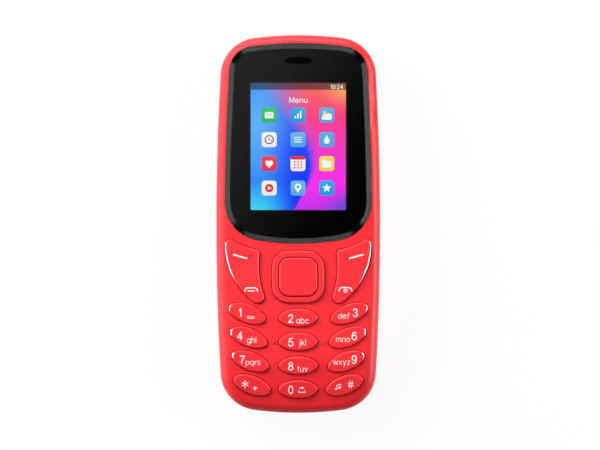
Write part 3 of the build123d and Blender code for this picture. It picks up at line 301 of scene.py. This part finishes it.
def merged(corners, faces):
    """Overlapping flat faces as one sheet with no doubled parts."""
    inside_only, same_point = 1, 0.0001
    turned = []
    for face in faces:
        ring = [corners[i] for i in face]
        area = sum(ax * by - bx * ay for (ax, ay), (bx, by) in zip(ring, ring[1:] + ring[:1]))
        turned.append(face if area > 0 else tuple(reversed(face)))
    points = [Vector(corner) for corner in corners]
    flat, _, cells, _, _, sources = delaunay_2d_cdt(points, [], turned, inside_only, same_point)
    return [tuple(c) for c in flat], [cell for cell, source in zip(cells, sources) if source]


def mesh_object(name, points, faces, look):
    """A new object of flat faces, its points in metres."""
    mesh = bpy.data.meshes.new(name)
    mesh.from_pydata(points, [], faces)
    mesh.update()
    mesh.materials.append(look)
    made = bpy.data.objects.new(name, mesh)
    bpy.context.scene.collection.objects.link(made)
    return made


def piece(name, shape, height, body, look, thick=PRINT_THICKNESS):
    """A thin print: shape in millimetres, height a number or a rule for y."""
    corners, faces = merged(*shape)
    points = []
    for x, y in corners:
        z = height(y) if callable(height) else height
        points.append((x * MM, y * MM, (z + PRINT_GAP) * MM))
    made = mesh_object(name, points, faces, look)
    if thick:
        solid = made.modifiers.new("thickness", "SOLIDIFY")
        solid.thickness = thick * MM
        solid.offset = 1.0
    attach(made, body)
    return made


# Flat shapes, each a list of corners and a list of faces
def join(*shapes):
    """Several shapes as one."""
    corners, faces = [], []
    for more_corners, more_faces in shapes:
        start = len(corners)
        corners += more_corners
        faces += [tuple(i + start for i in face) for face in more_faces]
    return corners, faces


def moved(shape, x, y):
    """A shape taken from the origin to another place."""
    corners, faces = shape
    return [(a + x, b + y) for a, b in corners], faces


def arc(x, y, radius, start, finish, steps=20, squash=1.0):
    """Points on a circle between two angles, its height changed by squash."""
    points = []
    for i in range(steps + 1):
        angle = math.radians(start + (finish - start) * i / steps)
        points.append((x + radius * math.cos(angle), y + radius * squash * math.sin(angle)))
    return points


def polygon(*points):
    return list(points), [tuple(range(len(points)))]


def disc(x, y, radius, sides=28, squash=1.0):
    return polygon(*arc(x, y, radius, 0, 360, sides, squash)[:-1])


def stroke(points, width, closed=False):
    """A line of even width along points, with square joints and round ends."""
    corners, faces = [], []
    count = len(points)
    for i, (x, y) in enumerate(points):
        before = points[i - 1] if i or closed else points[i]
        after = points[(i + 1) % count] if i < count - 1 or closed else points[i]
        along = Vector((after[0] - before[0], after[1] - before[1])).normalized()
        corners += [(x - along.y * width / 2, y + along.x * width / 2),
                    (x + along.y * width / 2, y - along.x * width / 2)]
    for i in range(count if closed else count - 1):
        a, b = 2 * i, 2 * ((i + 1) % count)
        faces.append((a + 1, b + 1, b, a))
    if closed:
        return corners, faces
    ends = [disc(*point, width / 2, sides=14) for point in (points[0], points[-1])]
    return join((corners, faces), *ends)


def cross(reach, width):
    return join(stroke([(-reach, 0), (reach, 0)], width), stroke([(0, -reach), (0, reach)], width))


def tile(x, y, width, height, radius):
    """A rounded rectangle."""
    points = []
    for corner_x, corner_y, start in ((1, 1, 0), (-1, 1, 90), (-1, -1, 180), (1, -1, 270)):
        middle = (x + corner_x * (width / 2 - radius), y + corner_y * (height / 2 - radius))
        points += arc(*middle, radius, start, start + 90, steps=6)
    return polygon(*points)


def oval(x, y, wide, high, start, finish, steps=22):
    """Points on an ellipse between two angles."""
    return arc(x, y, wide, start, finish, steps, high / wide)


# Strokes of digits and letters, in shares of a digit's height or of the height of an x
DIGITS = {
    "0": [oval(0.27, 0.5, 0.27, 0.5, 0, 360, 32)],
    "1": [[(0.0, 0.76), (0.14, 0.84), (0.26, 1.0), (0.26, 0.0)]],
    "2": [oval(0.27, 0.73, 0.26, 0.27, 168, -32) + [(0.0, 0.0), (0.55, 0.0)]],
    "3": [oval(0.25, 0.755, 0.22, 0.245, 160, -90), oval(0.25, 0.265, 0.27, 0.265, 90, -162)],
    "4": [[(0.44, 0.0), (0.44, 1.0), (0.0, 0.31), (0.6, 0.31)]],
    "5": [[(0.5, 1.0), (0.12, 1.0), (0.05, 0.5)] + oval(0.27, 0.32, 0.27, 0.32, 145, -160)],
    "6": [oval(0.27, 0.31, 0.265, 0.31, 0, 360, 28), oval(0.31, 0.45, 0.305, 0.55, 196, 46)],
    "7": [[(0.0, 1.0), (0.55, 1.0), (0.36, 0.66), (0.24, 0.34), (0.18, 0.0)]],
    "8": [oval(0.27, 0.765, 0.215, 0.235, 0, 360, 26), oval(0.27, 0.27, 0.27, 0.27, 0, 360, 28)],
    "9": [oval(0.27, 0.69, 0.265, 0.31, 0, 360, 28), oval(0.23, 0.55, 0.305, 0.55, 16, -134)],
    ":": [[(0.1, 0.2), (0.1, 0.22)], [(0.1, 0.68), (0.1, 0.7)]],
}
BOWL = oval(0.42, 0.5, 0.42, 0.5, 0, 360, 26)
LETTERS = {
    "a": [BOWL, [(0.86, 1.0), (0.86, 0.0)]],
    "b": [BOWL, [(0.0, 1.5), (0.0, 0.0)]],
    "c": [oval(0.42, 0.5, 0.42, 0.5, 42, 318)],
    "d": [BOWL, [(0.84, 1.5), (0.84, 0.0)]],
    "e": [[(0.03, 0.52), (0.84, 0.52)] + oval(0.42, 0.5, 0.42, 0.5, 3, 318)],
    "f": [[(0.22, 0.0), (0.22, 1.2), (0.3, 1.42), (0.52, 1.48)], [(0.0, 1.0), (0.5, 1.0)]],
    "g": [BOWL, [(0.84, 1.0), (0.84, -0.1)] + oval(0.42, -0.08, 0.42, 0.38, 0, -150, 12)],
    "h": [[(0.0, 1.5), (0.0, 0.0)], oval(0.37, 0.62, 0.37, 0.38, 180, 0, 12) + [(0.74, 0.0)]],
    "i": [[(0.0, 1.0), (0.0, 0.0)], [(0.0, 1.4), (0.0, 1.46)]],
    "j": [[(0.15, 1.0), (0.15, -0.3), (0.05, -0.46), (-0.12, -0.48)], [(0.15, 1.4), (0.15, 1.46)]],
    "k": [[(0.0, 1.5), (0.0, 0.0)], [(0.66, 1.0), (0.02, 0.4)], [(0.24, 0.6), (0.72, 0.0)]],
    "l": [[(0.0, 1.5), (0.0, 0.0)]],
    "m": [[(0.0, 1.0), (0.0, 0.0)], oval(0.32, 0.66, 0.32, 0.34, 180, 0, 12) + [(0.64, 0.0)],
          oval(0.96, 0.66, 0.32, 0.34, 180, 0, 12) + [(1.28, 0.0)]],
    "n": [[(0.0, 1.0), (0.0, 0.0)], oval(0.37, 0.62, 0.37, 0.38, 180, 0, 12) + [(0.74, 0.0)]],
    "o": [BOWL],
    "p": [BOWL, [(0.0, 1.0), (0.0, -0.5)]],
    "q": [BOWL, [(0.84, 1.0), (0.84, -0.5)]],
    "r": [[(0.0, 1.0), (0.0, 0.0)], [(0.0, 0.6), (0.14, 0.86), (0.4, 0.98)]],
    "s": [oval(0.36, 0.75, 0.32, 0.25, 40, 250, 12) + oval(0.36, 0.26, 0.34, 0.26, 70, -145, 14)],
    "t": [[(0.22, 1.36), (0.22, 0.2), (0.3, 0.03), (0.5, 0.0)], [(0.0, 1.0), (0.48, 1.0)]],
    "u": [[(0.0, 1.0)] + oval(0.37, 0.38, 0.37, 0.38, 180, 360, 12), [(0.74, 1.0), (0.74, 0.0)]],
    "v": [[(0.0, 1.0), (0.38, 0.0), (0.76, 1.0)]],
    "w": [[(0.0, 1.0), (0.28, 0.0), (0.56, 1.0), (0.84, 0.0), (1.12, 1.0)]],
    "x": [[(0.0, 1.0), (0.72, 0.0)], [(0.0, 0.0), (0.72, 1.0)]],
    "y": [[(0.0, 1.0), (0.38, 0.0)], [(0.76, 1.0), (0.3, -0.3), (0.08, -0.46)]],
    "z": [[(0.0, 1.0), (0.7, 1.0), (0.0, 0.0), (0.72, 0.0)]],
    "M": [[(0.0, 0.0), (0.0, 1.45), (0.6, 0.1), (1.2, 1.45), (1.2, 0.0)]],
}


def cut_at_turns(run):
    """Splits a line at its sharp turns, so that each run bends gently."""
    sharp = math.radians(40)
    runs, start = [], 0
    for i in range(1, len(run) - 1):
        before = Vector((run[i][0] - run[i - 1][0], run[i][1] - run[i - 1][1]))
        after = Vector((run[i + 1][0] - run[i][0], run[i + 1][1] - run[i][1]))
        if before.length and after.length and before.angle(after) > sharp:
            runs.append(run[start:i + 1])
            start = i
    return runs + [run[start:]]


def written(text, size, width, table, space=0.3):
    """Text in strokes about the middle of its box; size is the height of a digit or of an x."""
    runs, start = [], 0.0
    for letter in text:
        strokes = table[letter]
        low = min(point[0] for run in strokes for point in run)
        high = max(point[0] for run in strokes for point in run)
        for run in strokes:
            runs += cut_at_turns([(a - low + start, b) for a, b in run])
        start += high - low + space
    every = [point for run in runs for point in run]
    middle_x = (min(a for a, b in every) + max(a for a, b in every)) / 2
    middle_y = (min(b for a, b in every) + max(b for a, b in every)) / 2
    return join(*[stroke([((a - middle_x) * size, (b - middle_y) * size) for a, b in run], width)
                  for run in runs])


# Legends in millimetres: height of a digit and of an x, and the width of their strokes
DIGIT_HEIGHT, DIGIT_STROKE = 2.16, 0.3
WORD_HEIGHT, WORD_STROKE, WORD_SPACE_SHARE = 1.06, 0.16, 0.36


def digit(text):
    return written(text, DIGIT_HEIGHT, DIGIT_STROKE, DIGITS)


def word(text):
    return written(text, WORD_HEIGHT, WORD_STROKE, LETTERS, WORD_SPACE_SHARE)


# Marks in millimetres about their own middle
voicemail = join(stroke(arc(-0.62, 0, 0.36, 0, 342, 18, 0.8), 0.16, closed=True),
                 stroke(arc(0.62, 0, 0.36, 0, 342, 18, 0.8), 0.16, closed=True),
                 stroke([(-0.62, -0.3), (0.62, -0.3)], 0.16))
space_and_arrow = join(stroke([(-0.9, -0.35), (-0.9, -0.8), (0.9, -0.8), (0.9, -0.35)], 0.24),
                       stroke([(-0.55, 0.45), (0.1, 0.45)], 0.3),
                       polygon((0.1, 0), (0.75, 0.45), (0.1, 0.9)))
asterisk = join(*[stroke(arc(0, 0, 1.0, turn, turn + 180, 1), 0.24) for turn in (30, 90, 150)])
hash_sign = join(*[stroke([(step - 0.14, -0.98), (step + 0.14, 0.98)], 0.2) for step in (-0.32, 0.32)],
                 *[stroke([(-0.74, step), (0.74, step)], 0.2) for step in (-0.32, 0.32)])
note = join(disc(-0.45, -0.5, 0.34, 18, 0.8), disc(0.55, -0.2, 0.34, 18, 0.8),
            stroke([(-0.16, -0.5), (-0.16, 0.55)], 0.18), stroke([(0.84, -0.2), (0.84, 0.8)], 0.18),
            stroke([(-0.16, 0.55), (0.84, 0.8)], 0.28))
handset = stroke([(-1.78, -0.42), (-1.6, 0.22), (-1.05, 0.48),
                  (1.05, 0.48), (1.6, 0.22), (1.78, -0.42)], 0.34)
call = join(handset, stroke([(-0.85, -0.42), (0.85, -0.42)], 0.3))
end_call = join(handset, stroke(arc(0.05, -0.42, 0.5, 0, 342, 18, 0.8), 0.2, closed=True),
                disc(0.05, -0.42, 0.16))

# What each number key bears, and the middle of each mark in the enlarged crop
legends = {
    "1": ((digit("1"), (225, 762)), (voicemail, (305, 798))),
    "2": ((digit("2"), (603, 808)), (word("abc"), (690, 822))),
    "3": ((digit("3"), (1083, 765)), (word("def"), (998, 787))),
    "4": ((digit("4"), (225, 937)), (word("ghi"), (312, 972))),
    "5": ((digit("5"), (603, 985)), (word("jkl"), (690, 992))),
    "6": ((digit("6"), (1075, 938)), (word("mno"), (992, 967))),
    "7": ((digit("7"), (243, 1115)), (word("pqrs"), (322, 1145))),
    "8": ((digit("8"), (603, 1163)), (word("tuv"), (690, 1183))),
    "9": ((digit("9"), (1075, 1113)), (word("wxyz"), (983, 1143))),
    "0": ((digit("0"), (603, 1340)), (space_and_arrow, (685, 1338))),
    "star": ((asterisk, (263, 1297)), (cross(0.5, 0.26), (337, 1328))),
    "hash": ((hash_sign, (1050, 1300)), (note, (952, 1320))),
}
for key, marks in legends.items():
    shape = join(*[moved(mark, *crop_point(*middle)) for mark, middle in marks])
    piece(f"legend_{key}", shape, key_top, f"key_{key}", print_white)

# Wing keys: ends of the dash, mark and its middle, middle of the faint ring and the angle of its gap
DASH_WIDTH, RING_RADIUS, RING_WIDTH, HALF_GAP = 0.42, 0.62, 0.2, 60
wings = {
    "left": ((178, 333), (275, 360), call, (309, 592), (309, 351), 0),
    "right": ((1140, 333), (1043, 360), end_call, (1010, 590), (1007, 351), 180),
}
for side, (outer_end, inner_end, mark, middle, ring_middle, gap) in wings.items():
    dash = stroke([crop_point(*outer_end), crop_point(*inner_end)], DASH_WIDTH)
    shape = join(dash, moved(mark, *crop_point(*middle)))
    piece(f"legend_{side}_wing", shape, key_top, f"{side}_wing_key", print_white)
    bend = arc(*crop_point(*ring_middle), RING_RADIUS, gap + HALF_GAP, gap + 360 - HALF_GAP)
    ring = stroke(bend, RING_WIDTH)
    piece(f"legend_{side}_mark", ring, key_top, f"{side}_wing_key", print_faint)

# Layers of the picture in millimetres: heights over the display glass and thicknesses
PICTURE_RISE, TILE_RISE, TEXT_RISE, MARK_RISE, MARK_STEP = 0.012, 0.027, 0.032, 0.042, 0.012
LAYER_THICKNESS, MARK_THICKNESS = 0.01, 0.008


def glowing(g, colour):
    """Makes a material shine with a colour as the display does."""
    g.set(Base_Color=(0.0, 0.0, 0.0, 1.0), Roughness=0.5, Specular_IOR_Level=0.0)
    g.set(Emission_Color=colour, Emission_Strength=1.0)
    return g.material


def lit(name, top, foot, middle_y, half):
    """A lit colour that changes a little from the top of a tile to its foot."""
    g = Graph(name)
    up = g.span(g.axes(g.place)["Y"], (middle_y - half) * MM, (middle_y + half) * MM)
    return glowing(g, g.ramp(up, (0.0, foot), (1.0, top)))


def wallpaper():
    """A wave of blues against pinks, darker under the status line."""
    g = Graph("wallpaper")
    x, y, _ = g.axes(g.place)
    u = g.span(x, -SCREEN_WIDTH / 2 * MM, SCREEN_WIDTH / 2 * MM)
    v = g.span(y, (SCREEN_Y - SCREEN_LENGTH / 2) * MM, (SCREEN_Y + SCREEN_LENGTH / 2) * MM)
    pale = g.ramp(v, (0.0, linear(60, 222, 250)), (0.22, linear(40, 140, 255)), (0.65, linear(92, 180, 255)),
                  (1.0, linear(66, 158, 254)))
    deep = g.ramp(v, (0.0, linear(8, 52, 250)), (0.45, linear(10, 66, 255)), (0.72, linear(50, 104, 246)),
                  (1.0, linear(120, 118, 196)))
    cool = g.mix(g.fade(u, 0.06, 0.5), pale, deep)
    warm = g.ramp(v, (0.0, linear(196, 48, 240)), (0.18, linear(250, 44, 246)), (0.45, linear(246, 56, 206)),
                  (0.72, linear(255, 62, 134)), (0.9, linear(255, 92, 108)), (1.0, linear(240, 110, 100)))
    upper_right = g.times(g.fade(u, 0.7, 1.0), g.fade(v, 0.8, 0.95))
    lower_right = g.times(g.fade(u, 0.7, 1.0), g.fade(v, 0.2, 0.0))
    warm = g.mix(upper_right, warm, linear(255, 168, 96))
    warm = g.mix(lower_right, warm, linear(108, 74, 226))
    swing = g.times(g.math("SINE", g.math("ADD", g.times(v, 5.0), -0.35)), 0.15)
    edge = g.math("SUBTRACT", g.math("SUBTRACT", u, 0.51), swing)
    softness = g.math("ADD", g.times(g.math("POWER", v, 2.0), 0.3), 0.012)
    wave = g.mix(g.fade(g.math("DIVIDE", edge, softness), -1.0, 1.0), cool, warm)
    status_line = g.span(v, 0.947, 0.948)
    return glowing(g, g.mix(status_line, wave, g.mix(0.76, wave, linear(8, 9, 12))))


def on_screen(name, shape, rise, look, thick=MARK_THICKNESS):
    """One layer of the picture, so high over the display glass."""
    piece(name, shape, SCREEN_Z + rise, "handset", look, thick)


on_screen("screen_picture", tile(0, SCREEN_Y, SCREEN_WIDTH, SCREEN_LENGTH, 0.45), PICTURE_RISE, wallpaper(),
          LAYER_THICKNESS)

# Plain pictograms about their own middle in millimetres, each a list of shapes with their colours
ICON, ICON_CORNER = 4.26, 0.9
white_light, grey, green = linear(252, 252, 252), linear(60, 64, 72), linear(34, 170, 86)
red, blue, sun = linear(228, 44, 66), linear(60, 130, 220), linear(255, 226, 60)
three = (-1, 0, 1)
envelope = [(tile(0, 0, 2.5, 1.8, 0.2), white_light),
            (stroke([(-1.05, 0.7), (0, -0.1), (1.05, 0.7)], 0.16), green)]
bars = [(join(*[tile(0.75 * i, 0.35 * (i + 2) - 0.9, 0.45, 0.7 * (i + 2), 0.1) for i in three]),
         white_light)]
sky = [(disc(-0.6, 0.75, 0.5), sun),
       (join(disc(-0.6, -0.5, 0.75), disc(0.55, -0.35, 0.95), tile(0, -0.85, 2.9, 0.9, 0.4)), white_light)]
dial = [(stroke(arc(0, 0, 1.15, 0, 350, 32), 0.3, closed=True), grey),
        (stroke([(0, 0.65), (0, 0), (0.5, -0.25)], 0.24), red)]
lines = [(join(*[stroke([(-0.95, 0.65 * i), (0.95, 0.65 * i)], 0.26) for i in three]), white_light)]
drop = [(join(disc(0, -0.35, 0.85), polygon((-0.78, -0.02), (0.78, -0.02), (0, 1.35))), white_light)]
heart = [(join(disc(-0.5, 0.25, 0.62), disc(0.5, 0.25, 0.62),
               polygon((-1.06, -0.02), (0, -1.3), (1.06, -0.02), (0, 0.3))), white_light)]
sheet = [(tile(0, 1.62, ICON, 1.0, 0.45), red),
         (join(*[tile(0.95 * i, 0.8 * j - 0.35, 0.5, 0.42, 0.08) for i in three for j in three]), red)]
folder = [(join(tile(0, -0.2, 2.7, 1.9, 0.25), tile(-0.7, 0.75, 1.3, 0.7, 0.2)), white_light)]
play = [(disc(0, 0, 1.2), red), (polygon((-0.35, -0.6), (0.65, 0), (-0.35, 0.6)), white_light)]
pin = [(disc(0, 0.35, 0.95), white_light), (polygon((-0.82, -0.05), (0, -1.35), (0.82, -0.05)), white_light),
       (disc(0, 0.35, 0.38), blue)]
points_out, points_in = arc(0, 0, 1.35, 90, 450, 5)[:-1], arc(0, 0, 0.6, 126, 486, 5)[:-1]
star = [(polygon(*[point for pair in zip(points_out, points_in) for point in pair]), white_light)]

# Tiles of the menu, row by row: pictogram, and the tile's colour at its top and at its foot
ICON_COLUMNS = (-8.25, -0.07, 8.1)
ICON_ROWS = (30.95, 24.0, 17.2, 10.25)
menu = (
    (envelope, linear(34, 205, 98), linear(30, 184, 84)),
    (bars, linear(48, 176, 240), linear(28, 150, 226)),
    (sky, linear(96, 184, 244), linear(70, 160, 236)),
    (dial, linear(253, 253, 253), linear(240, 242, 246)),
    (lines, linear(110, 188, 242), linear(78, 166, 232)),
    (drop, linear(92, 180, 244), linear(70, 160, 236)),
    (heart, linear(246, 66, 92), linear(232, 40, 74)),
    (sheet, linear(253, 253, 253), linear(246, 244, 240)),
    (folder, linear(252, 226, 98), linear(248, 210, 70)),
    (play, linear(250, 248, 240), linear(242, 240, 228)),
    (pin, linear(112, 192, 240), linear(84, 170, 230)),
    (star, linear(40, 178, 240), linear(20, 154, 226)),
)
for index, (pictogram, top, foot) in enumerate(menu):
    row, column = divmod(index, len(ICON_COLUMNS))
    x, y = ICON_COLUMNS[column], ICON_ROWS[row]
    look = lit(f"icon_colour_{index}", top, foot, y, ICON / 2)
    on_screen(f"icon_{index}", tile(x, y, ICON, ICON, ICON_CORNER), TILE_RISE, look, LAYER_THICKNESS)
    for layer, (shape, colour) in enumerate(pictogram):
        look = lit(f"icon_mark_colour_{index}_{layer}", colour, shade(colour, 0.96), y, ICON / 2)
        on_screen(f"icon_mark_{index}_{layer}", moved(shape, x, y), MARK_RISE + MARK_STEP * layer, look)

# Title and clock: middle, height of an x or of a digit, and stroke
TITLE_AT, TITLE_HEIGHT, TITLE_STROKE = (0.0, 35.25), 1.05, 0.2
CLOCK_AT, CLOCK_HEIGHT, CLOCK_STROKE = (10.95, 38.98), 1.12, 0.17
text_look = lit("screen_text", white_light, shade(white_light, 0.95), 36.0, 3.0)
title = written("Menu", TITLE_HEIGHT, TITLE_STROKE, LETTERS, 0.4)
clock = written("10:24", CLOCK_HEIGHT, CLOCK_STROKE, DIGITS, 0.28)
on_screen("screen_title", moved(title, *TITLE_AT), TEXT_RISE, text_look)
on_screen("screen_clock", moved(clock, *CLOCK_AT), TEXT_RISE, text_look)


def under(name, shape, z, body, look, gap=UNDER_GAP):
    """A thin print on a face that looks down, z in metres and its gap in millimetres."""
    mark = piece(name, shape, 0.0, body, look, 0.0)
    for corner in mark.data.vertices:
        corner.co.z = z - gap * MM
    mark.data.flip_normals()


# Plus and minus on the battery
MARK_MARGIN, MARK_X, MARK_REACH, MARK_WIDTH = 3.0, 2.6, 0.8, 0.35
low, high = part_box("battery")
marks_y = high[1] / MM - MARK_MARGIN
plus = moved(cross(MARK_REACH, MARK_WIDTH), MARK_X, marks_y)
minus = moved(stroke([(-MARK_REACH, 0), (MARK_REACH, 0)], MARK_WIDTH), -MARK_X, marks_y)
under("battery_plus", plus, low[2], "battery", print_white)
under("battery_minus", minus, low[2], "battery", print_white)

# Card holders from below, in shares of their width and length: a dark window, gold pads in it, a number
WINDOW_WIDE_SHARE, WINDOW_LONG_SHARE, WINDOW_DOWN_SHARE = 0.66, 0.52, 0.12
PAD_WIDE_SHARE, PAD_LONG_SHARE, PADS_WIDE_SHARE, PADS_APART_SHARE = 0.3, 0.15, 0.58, 0.13
NUMBER_UP_SHARE = 0.34
WINDOW_CORNER, PAD_CORNER, NUMBER_HEIGHT, NUMBER_STROKE = 0.5, 0.2, 1.5, 0.22
holder_dark = moulded("holder_dark", linear(20, 20, 21), 0.6, 0.3, 0.01, 0.15)

# Node, columns of pads, number
holders = (("sim_holder_1", 3, "1"), ("sim_holder_2", 3, "2"), ("memory_card_holder", 4, None))
for node, columns, number in holders:
    low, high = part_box(node)
    x, y = (low[0] + high[0]) / 2 / MM, (low[1] + high[1]) / 2 / MM
    width, length = (high[0] - low[0]) / MM, (high[1] - low[1]) / MM
    window_y, number_y = y - length * WINDOW_DOWN_SHARE, y + length * NUMBER_UP_SHARE
    window = tile(x, window_y, width * WINDOW_WIDE_SHARE, length * WINDOW_LONG_SHARE, WINDOW_CORNER)
    under(f"{node}_window", window, low[2], "handset", holder_dark)
    pads = []
    for column in range(columns):
        pad_x = x + (column - (columns - 1) / 2) * width * PADS_WIDE_SHARE / columns
        for row in (-1, 1):
            pad_y = window_y + row * length * PADS_APART_SHARE
            pads.append(tile(pad_x, pad_y, width * PAD_WIDE_SHARE / columns, length * PAD_LONG_SHARE,
                             PAD_CORNER))
    under(f"{node}_pads", join(*pads), low[2], "handset", finishes["contact_gold"],
          2 * UNDER_GAP)
    if number:
        corners, faces = written(number, NUMBER_HEIGHT, NUMBER_STROKE, DIGITS)
        mirrored = [(x - a, number_y + b) for a, b in corners]
        under(f"{node}_number", (mirrored, faces), low[2], "handset", holder_dark)


# Stage and lamps, in metres from here on
def floor_look():
    """White; what the rim mirrors of it is dark by the foot and by the upper right corner."""
    g = Graph("floor_white")
    g.set(Base_Color=g.ramp(g.noise(40.0), (0.4, (0.9, 0.9, 0.9, 1)), (0.6, (0.92, 0.92, 0.92, 1))))
    g.set(Roughness=0.9)
    rays = g.node("ShaderNodeLightPath").outputs
    mirrored = g.math("MAXIMUM", rays["Is Glossy Ray"], rays["Is Transmission Ray"])
    seen = g.math("MAXIMUM", rays["Is Camera Ray"], mirrored)
    across, along, _ = g.axes(g.place)
    by_foot = g.fade(along, -0.075, -0.04, 0.78, 0.0)
    by_corner = g.fade(g.math("ADD", across, along), 0.064, 0.08, 0.0, 0.9)
    bright = g.math("SUBTRACT", 1.0, g.math("MAXIMUM", by_foot, by_corner))
    strength = g.math("MAXIMUM", rays["Is Camera Ray"], bright)
    glow = g.node("ShaderNodeEmission", {"Color": (1.0, 1.0, 1.0, 1.0), "Strength": strength}).outputs[0]
    blend = g.node("ShaderNodeMixShader", {0: g.times(seen, 0.92), 1: g.shader.outputs[0], 2: glow})
    g.feed(g.output.inputs[0], blend.outputs[0])
    return g.material


FLOOR_REACH, FLOOR_DROP = 3.0, 0.0002
floor_corners = [(x * FLOOR_REACH, y * FLOOR_REACH, 0) for x, y in ((-1, -1), (1, -1), (1, 1), (-1, 1))]
floor = mesh_object("floor", floor_corners, [(0, 1, 2, 3)], floor_look())
floor.location.z = -FLOOR_DROP

# World: pale near the horizon and less so at the foot and one corner, dim overhead but for the upper left
world = bpy.data.worlds.new("studio")
bpy.context.scene.world = world
world.use_nodes = True
dome = Nodes(world.node_tree)
x, y, up = dome.axes(dome.node("ShaderNodeTexCoord").outputs["Generated"])
horizon = dome.times(dome.fade(up, 0.25, 0.8, 1.0, 0.025), dome.fade(y, -0.8, 0.1, 0.3, 1.0))
corner = dome.times(dome.fade(x, 0.2, 0.5), dome.fade(y, 0.2, 0.5))
horizon = dome.times(horizon, dome.math("SUBTRACT", 1.0, dome.times(corner, 0.9)))
slant = dome.math("SUBTRACT", dome.times(y, 0.6), x)
upper_left = dome.times(dome.fade(slant, -0.012, 0.06, 0.0, 0.42), dome.fade(up, 0.9, 0.97))
strength = dome.math("MAXIMUM", dome.math("ADD", horizon, upper_left), 0.01)
backdrop = dome.tree.nodes["Background"].inputs
dome.feed(backdrop["Color"], (1.0, 1.0, 1.0, 1.0))
dome.feed(backdrop["Strength"], strength)

AIM_HEIGHT = 0.012            # the lamps face this height over the phone's origin


def softbox(name, azimuth, zenith, distance, width, height, radiance, only=(), without=(), diffuse=True,
            gloss=True):
    """A rectangular lamp that faces the phone, its width across the way it faces, angles in degrees."""
    lamp = bpy.data.lights.new(name, "AREA")
    lamp.shape = "RECTANGLE"
    lamp.size, lamp.size_y = width, height
    lamp.energy = radiance * math.pi * width * height
    made = bpy.data.objects.new(name, lamp)
    bpy.context.scene.collection.objects.link(made)
    a, z = math.radians(azimuth), math.radians(zenith)
    out = Vector((math.sin(z) * math.cos(a), math.sin(z) * math.sin(a), math.cos(z)))
    made.location = out * distance + Vector((0, 0, AIM_HEIGHT))
    made.rotation_mode = "QUATERNION"
    made.rotation_quaternion = (-out).to_track_quat("-Z", "Y")
    made.visible_diffuse = diffuse
    made.visible_glossy = made.visible_transmission = gloss
    if only or without:
        group = bpy.data.collections.new(name)
        for thing in only or without:
            group.objects.link(thing)
        for member in group.collection_objects:
            member.light_linking.link_state = "INCLUDE" if only else "EXCLUDE"
        made.light_linking.receiver_collection = group


window = [nodes["display_lens"]]
red_plastic = [thing for node, thing in nodes.items() if slots[node] in ("red_plastic", "key_plastic")]

# Four boxes that the window's bevel shows, with gaps between them at its corners
bevel_boxes = (("right", 0, 2.0), ("head", 90, 2.0), ("left", 180, 2.0), ("foot", 270, 1.4))
for side, azimuth, radiance in bevel_boxes:
    softbox(f"box_{side}", azimuth, zenith=32, distance=0.62, width=0.4, height=0.2, radiance=radiance,
            only=window, diffuse=False)

# A soft sheen on the red plastic, stronger to the left
softbox("sheen_left", azimuth=168, zenith=26, distance=0.7, width=0.5, height=0.3, radiance=1.3,
        only=red_plastic, diffuse=False)

# Main lamp from the upper left, and a box on each side and at the head for the rim
softbox("key_light", azimuth=140, zenith=66, distance=0.8, width=0.6, height=0.45, radiance=11.2,
        gloss=False)
rim_boxes = (("right", 4, 0.8, 3.4), ("left", 180, 0.9, 1.3), ("head", 96, 0.7, 1.9))
for side, azimuth, width, radiance in rim_boxes:
    softbox(f"side_{side}", azimuth, zenith=66, distance=0.8, width=width, height=0.5, radiance=radiance,
            without=window)

# Low strips that draw a bright line on the outer edge of the wing keys and of the outer number keys
edge_keys = (("left", 172, 520.0, ("left_wing_key", "key_1", "key_4", "key_7")),
             ("right", 8, 310.0, ("right_wing_key", "key_3", "key_6", "key_9")))
for side, azimuth, radiance, keys in edge_keys:
    softbox(f"edge_light_{side}", azimuth, zenith=83, distance=0.5, width=0.75, height=0.07,
            radiance=radiance, only=[nodes[key] for key in keys], diffuse=False)

# A dark card at the foot, out of the camera's sight, keeps the chin and its edge deep
card_corners = [(-0.6, -0.42, 0.0), (0.6, -0.42, 0.0), (0.6, -0.5, 0.42), (-0.6, -0.5, 0.42)]
card_black = moulded("card_black", linear(20, 20, 20), 0.9, 2.0, 0.01, 0.1)
card = mesh_object("foot_card", card_corners, [(0, 1, 2, 3)], card_black)
card.visible_camera = False

# Camera straight above, in line with the photograph, whose scale holds at the level of the display
CAMERA_DISTANCE, SCALE_LEVEL, SENSOR_WIDTH = 0.8, 0.0105, 36.0
camera_data = bpy.data.cameras.new("camera")
camera = bpy.data.objects.new("camera", camera_data)
bpy.context.scene.collection.objects.link(camera)
bpy.context.scene.camera = camera
camera_data.sensor_width = SENSOR_WIDTH
camera_data.lens = SENSOR_WIDTH * CAMERA_DISTANCE / (PHOTO_WIDTH * PIXEL * MM)
camera_data.clip_start = 0.01
camera.location = ((PHOTO_WIDTH / 2 - CENTRE_PX) * PIXEL * MM, (CENTRE_PY - PHOTO_HEIGHT / 2) * PIXEL * MM,
                   CAMERA_DISTANCE + SCALE_LEVEL)
camera.rotation_euler = (0.0, 0.0, 0.0)

bpy.context.scene.view_settings.view_transform = "Standard"
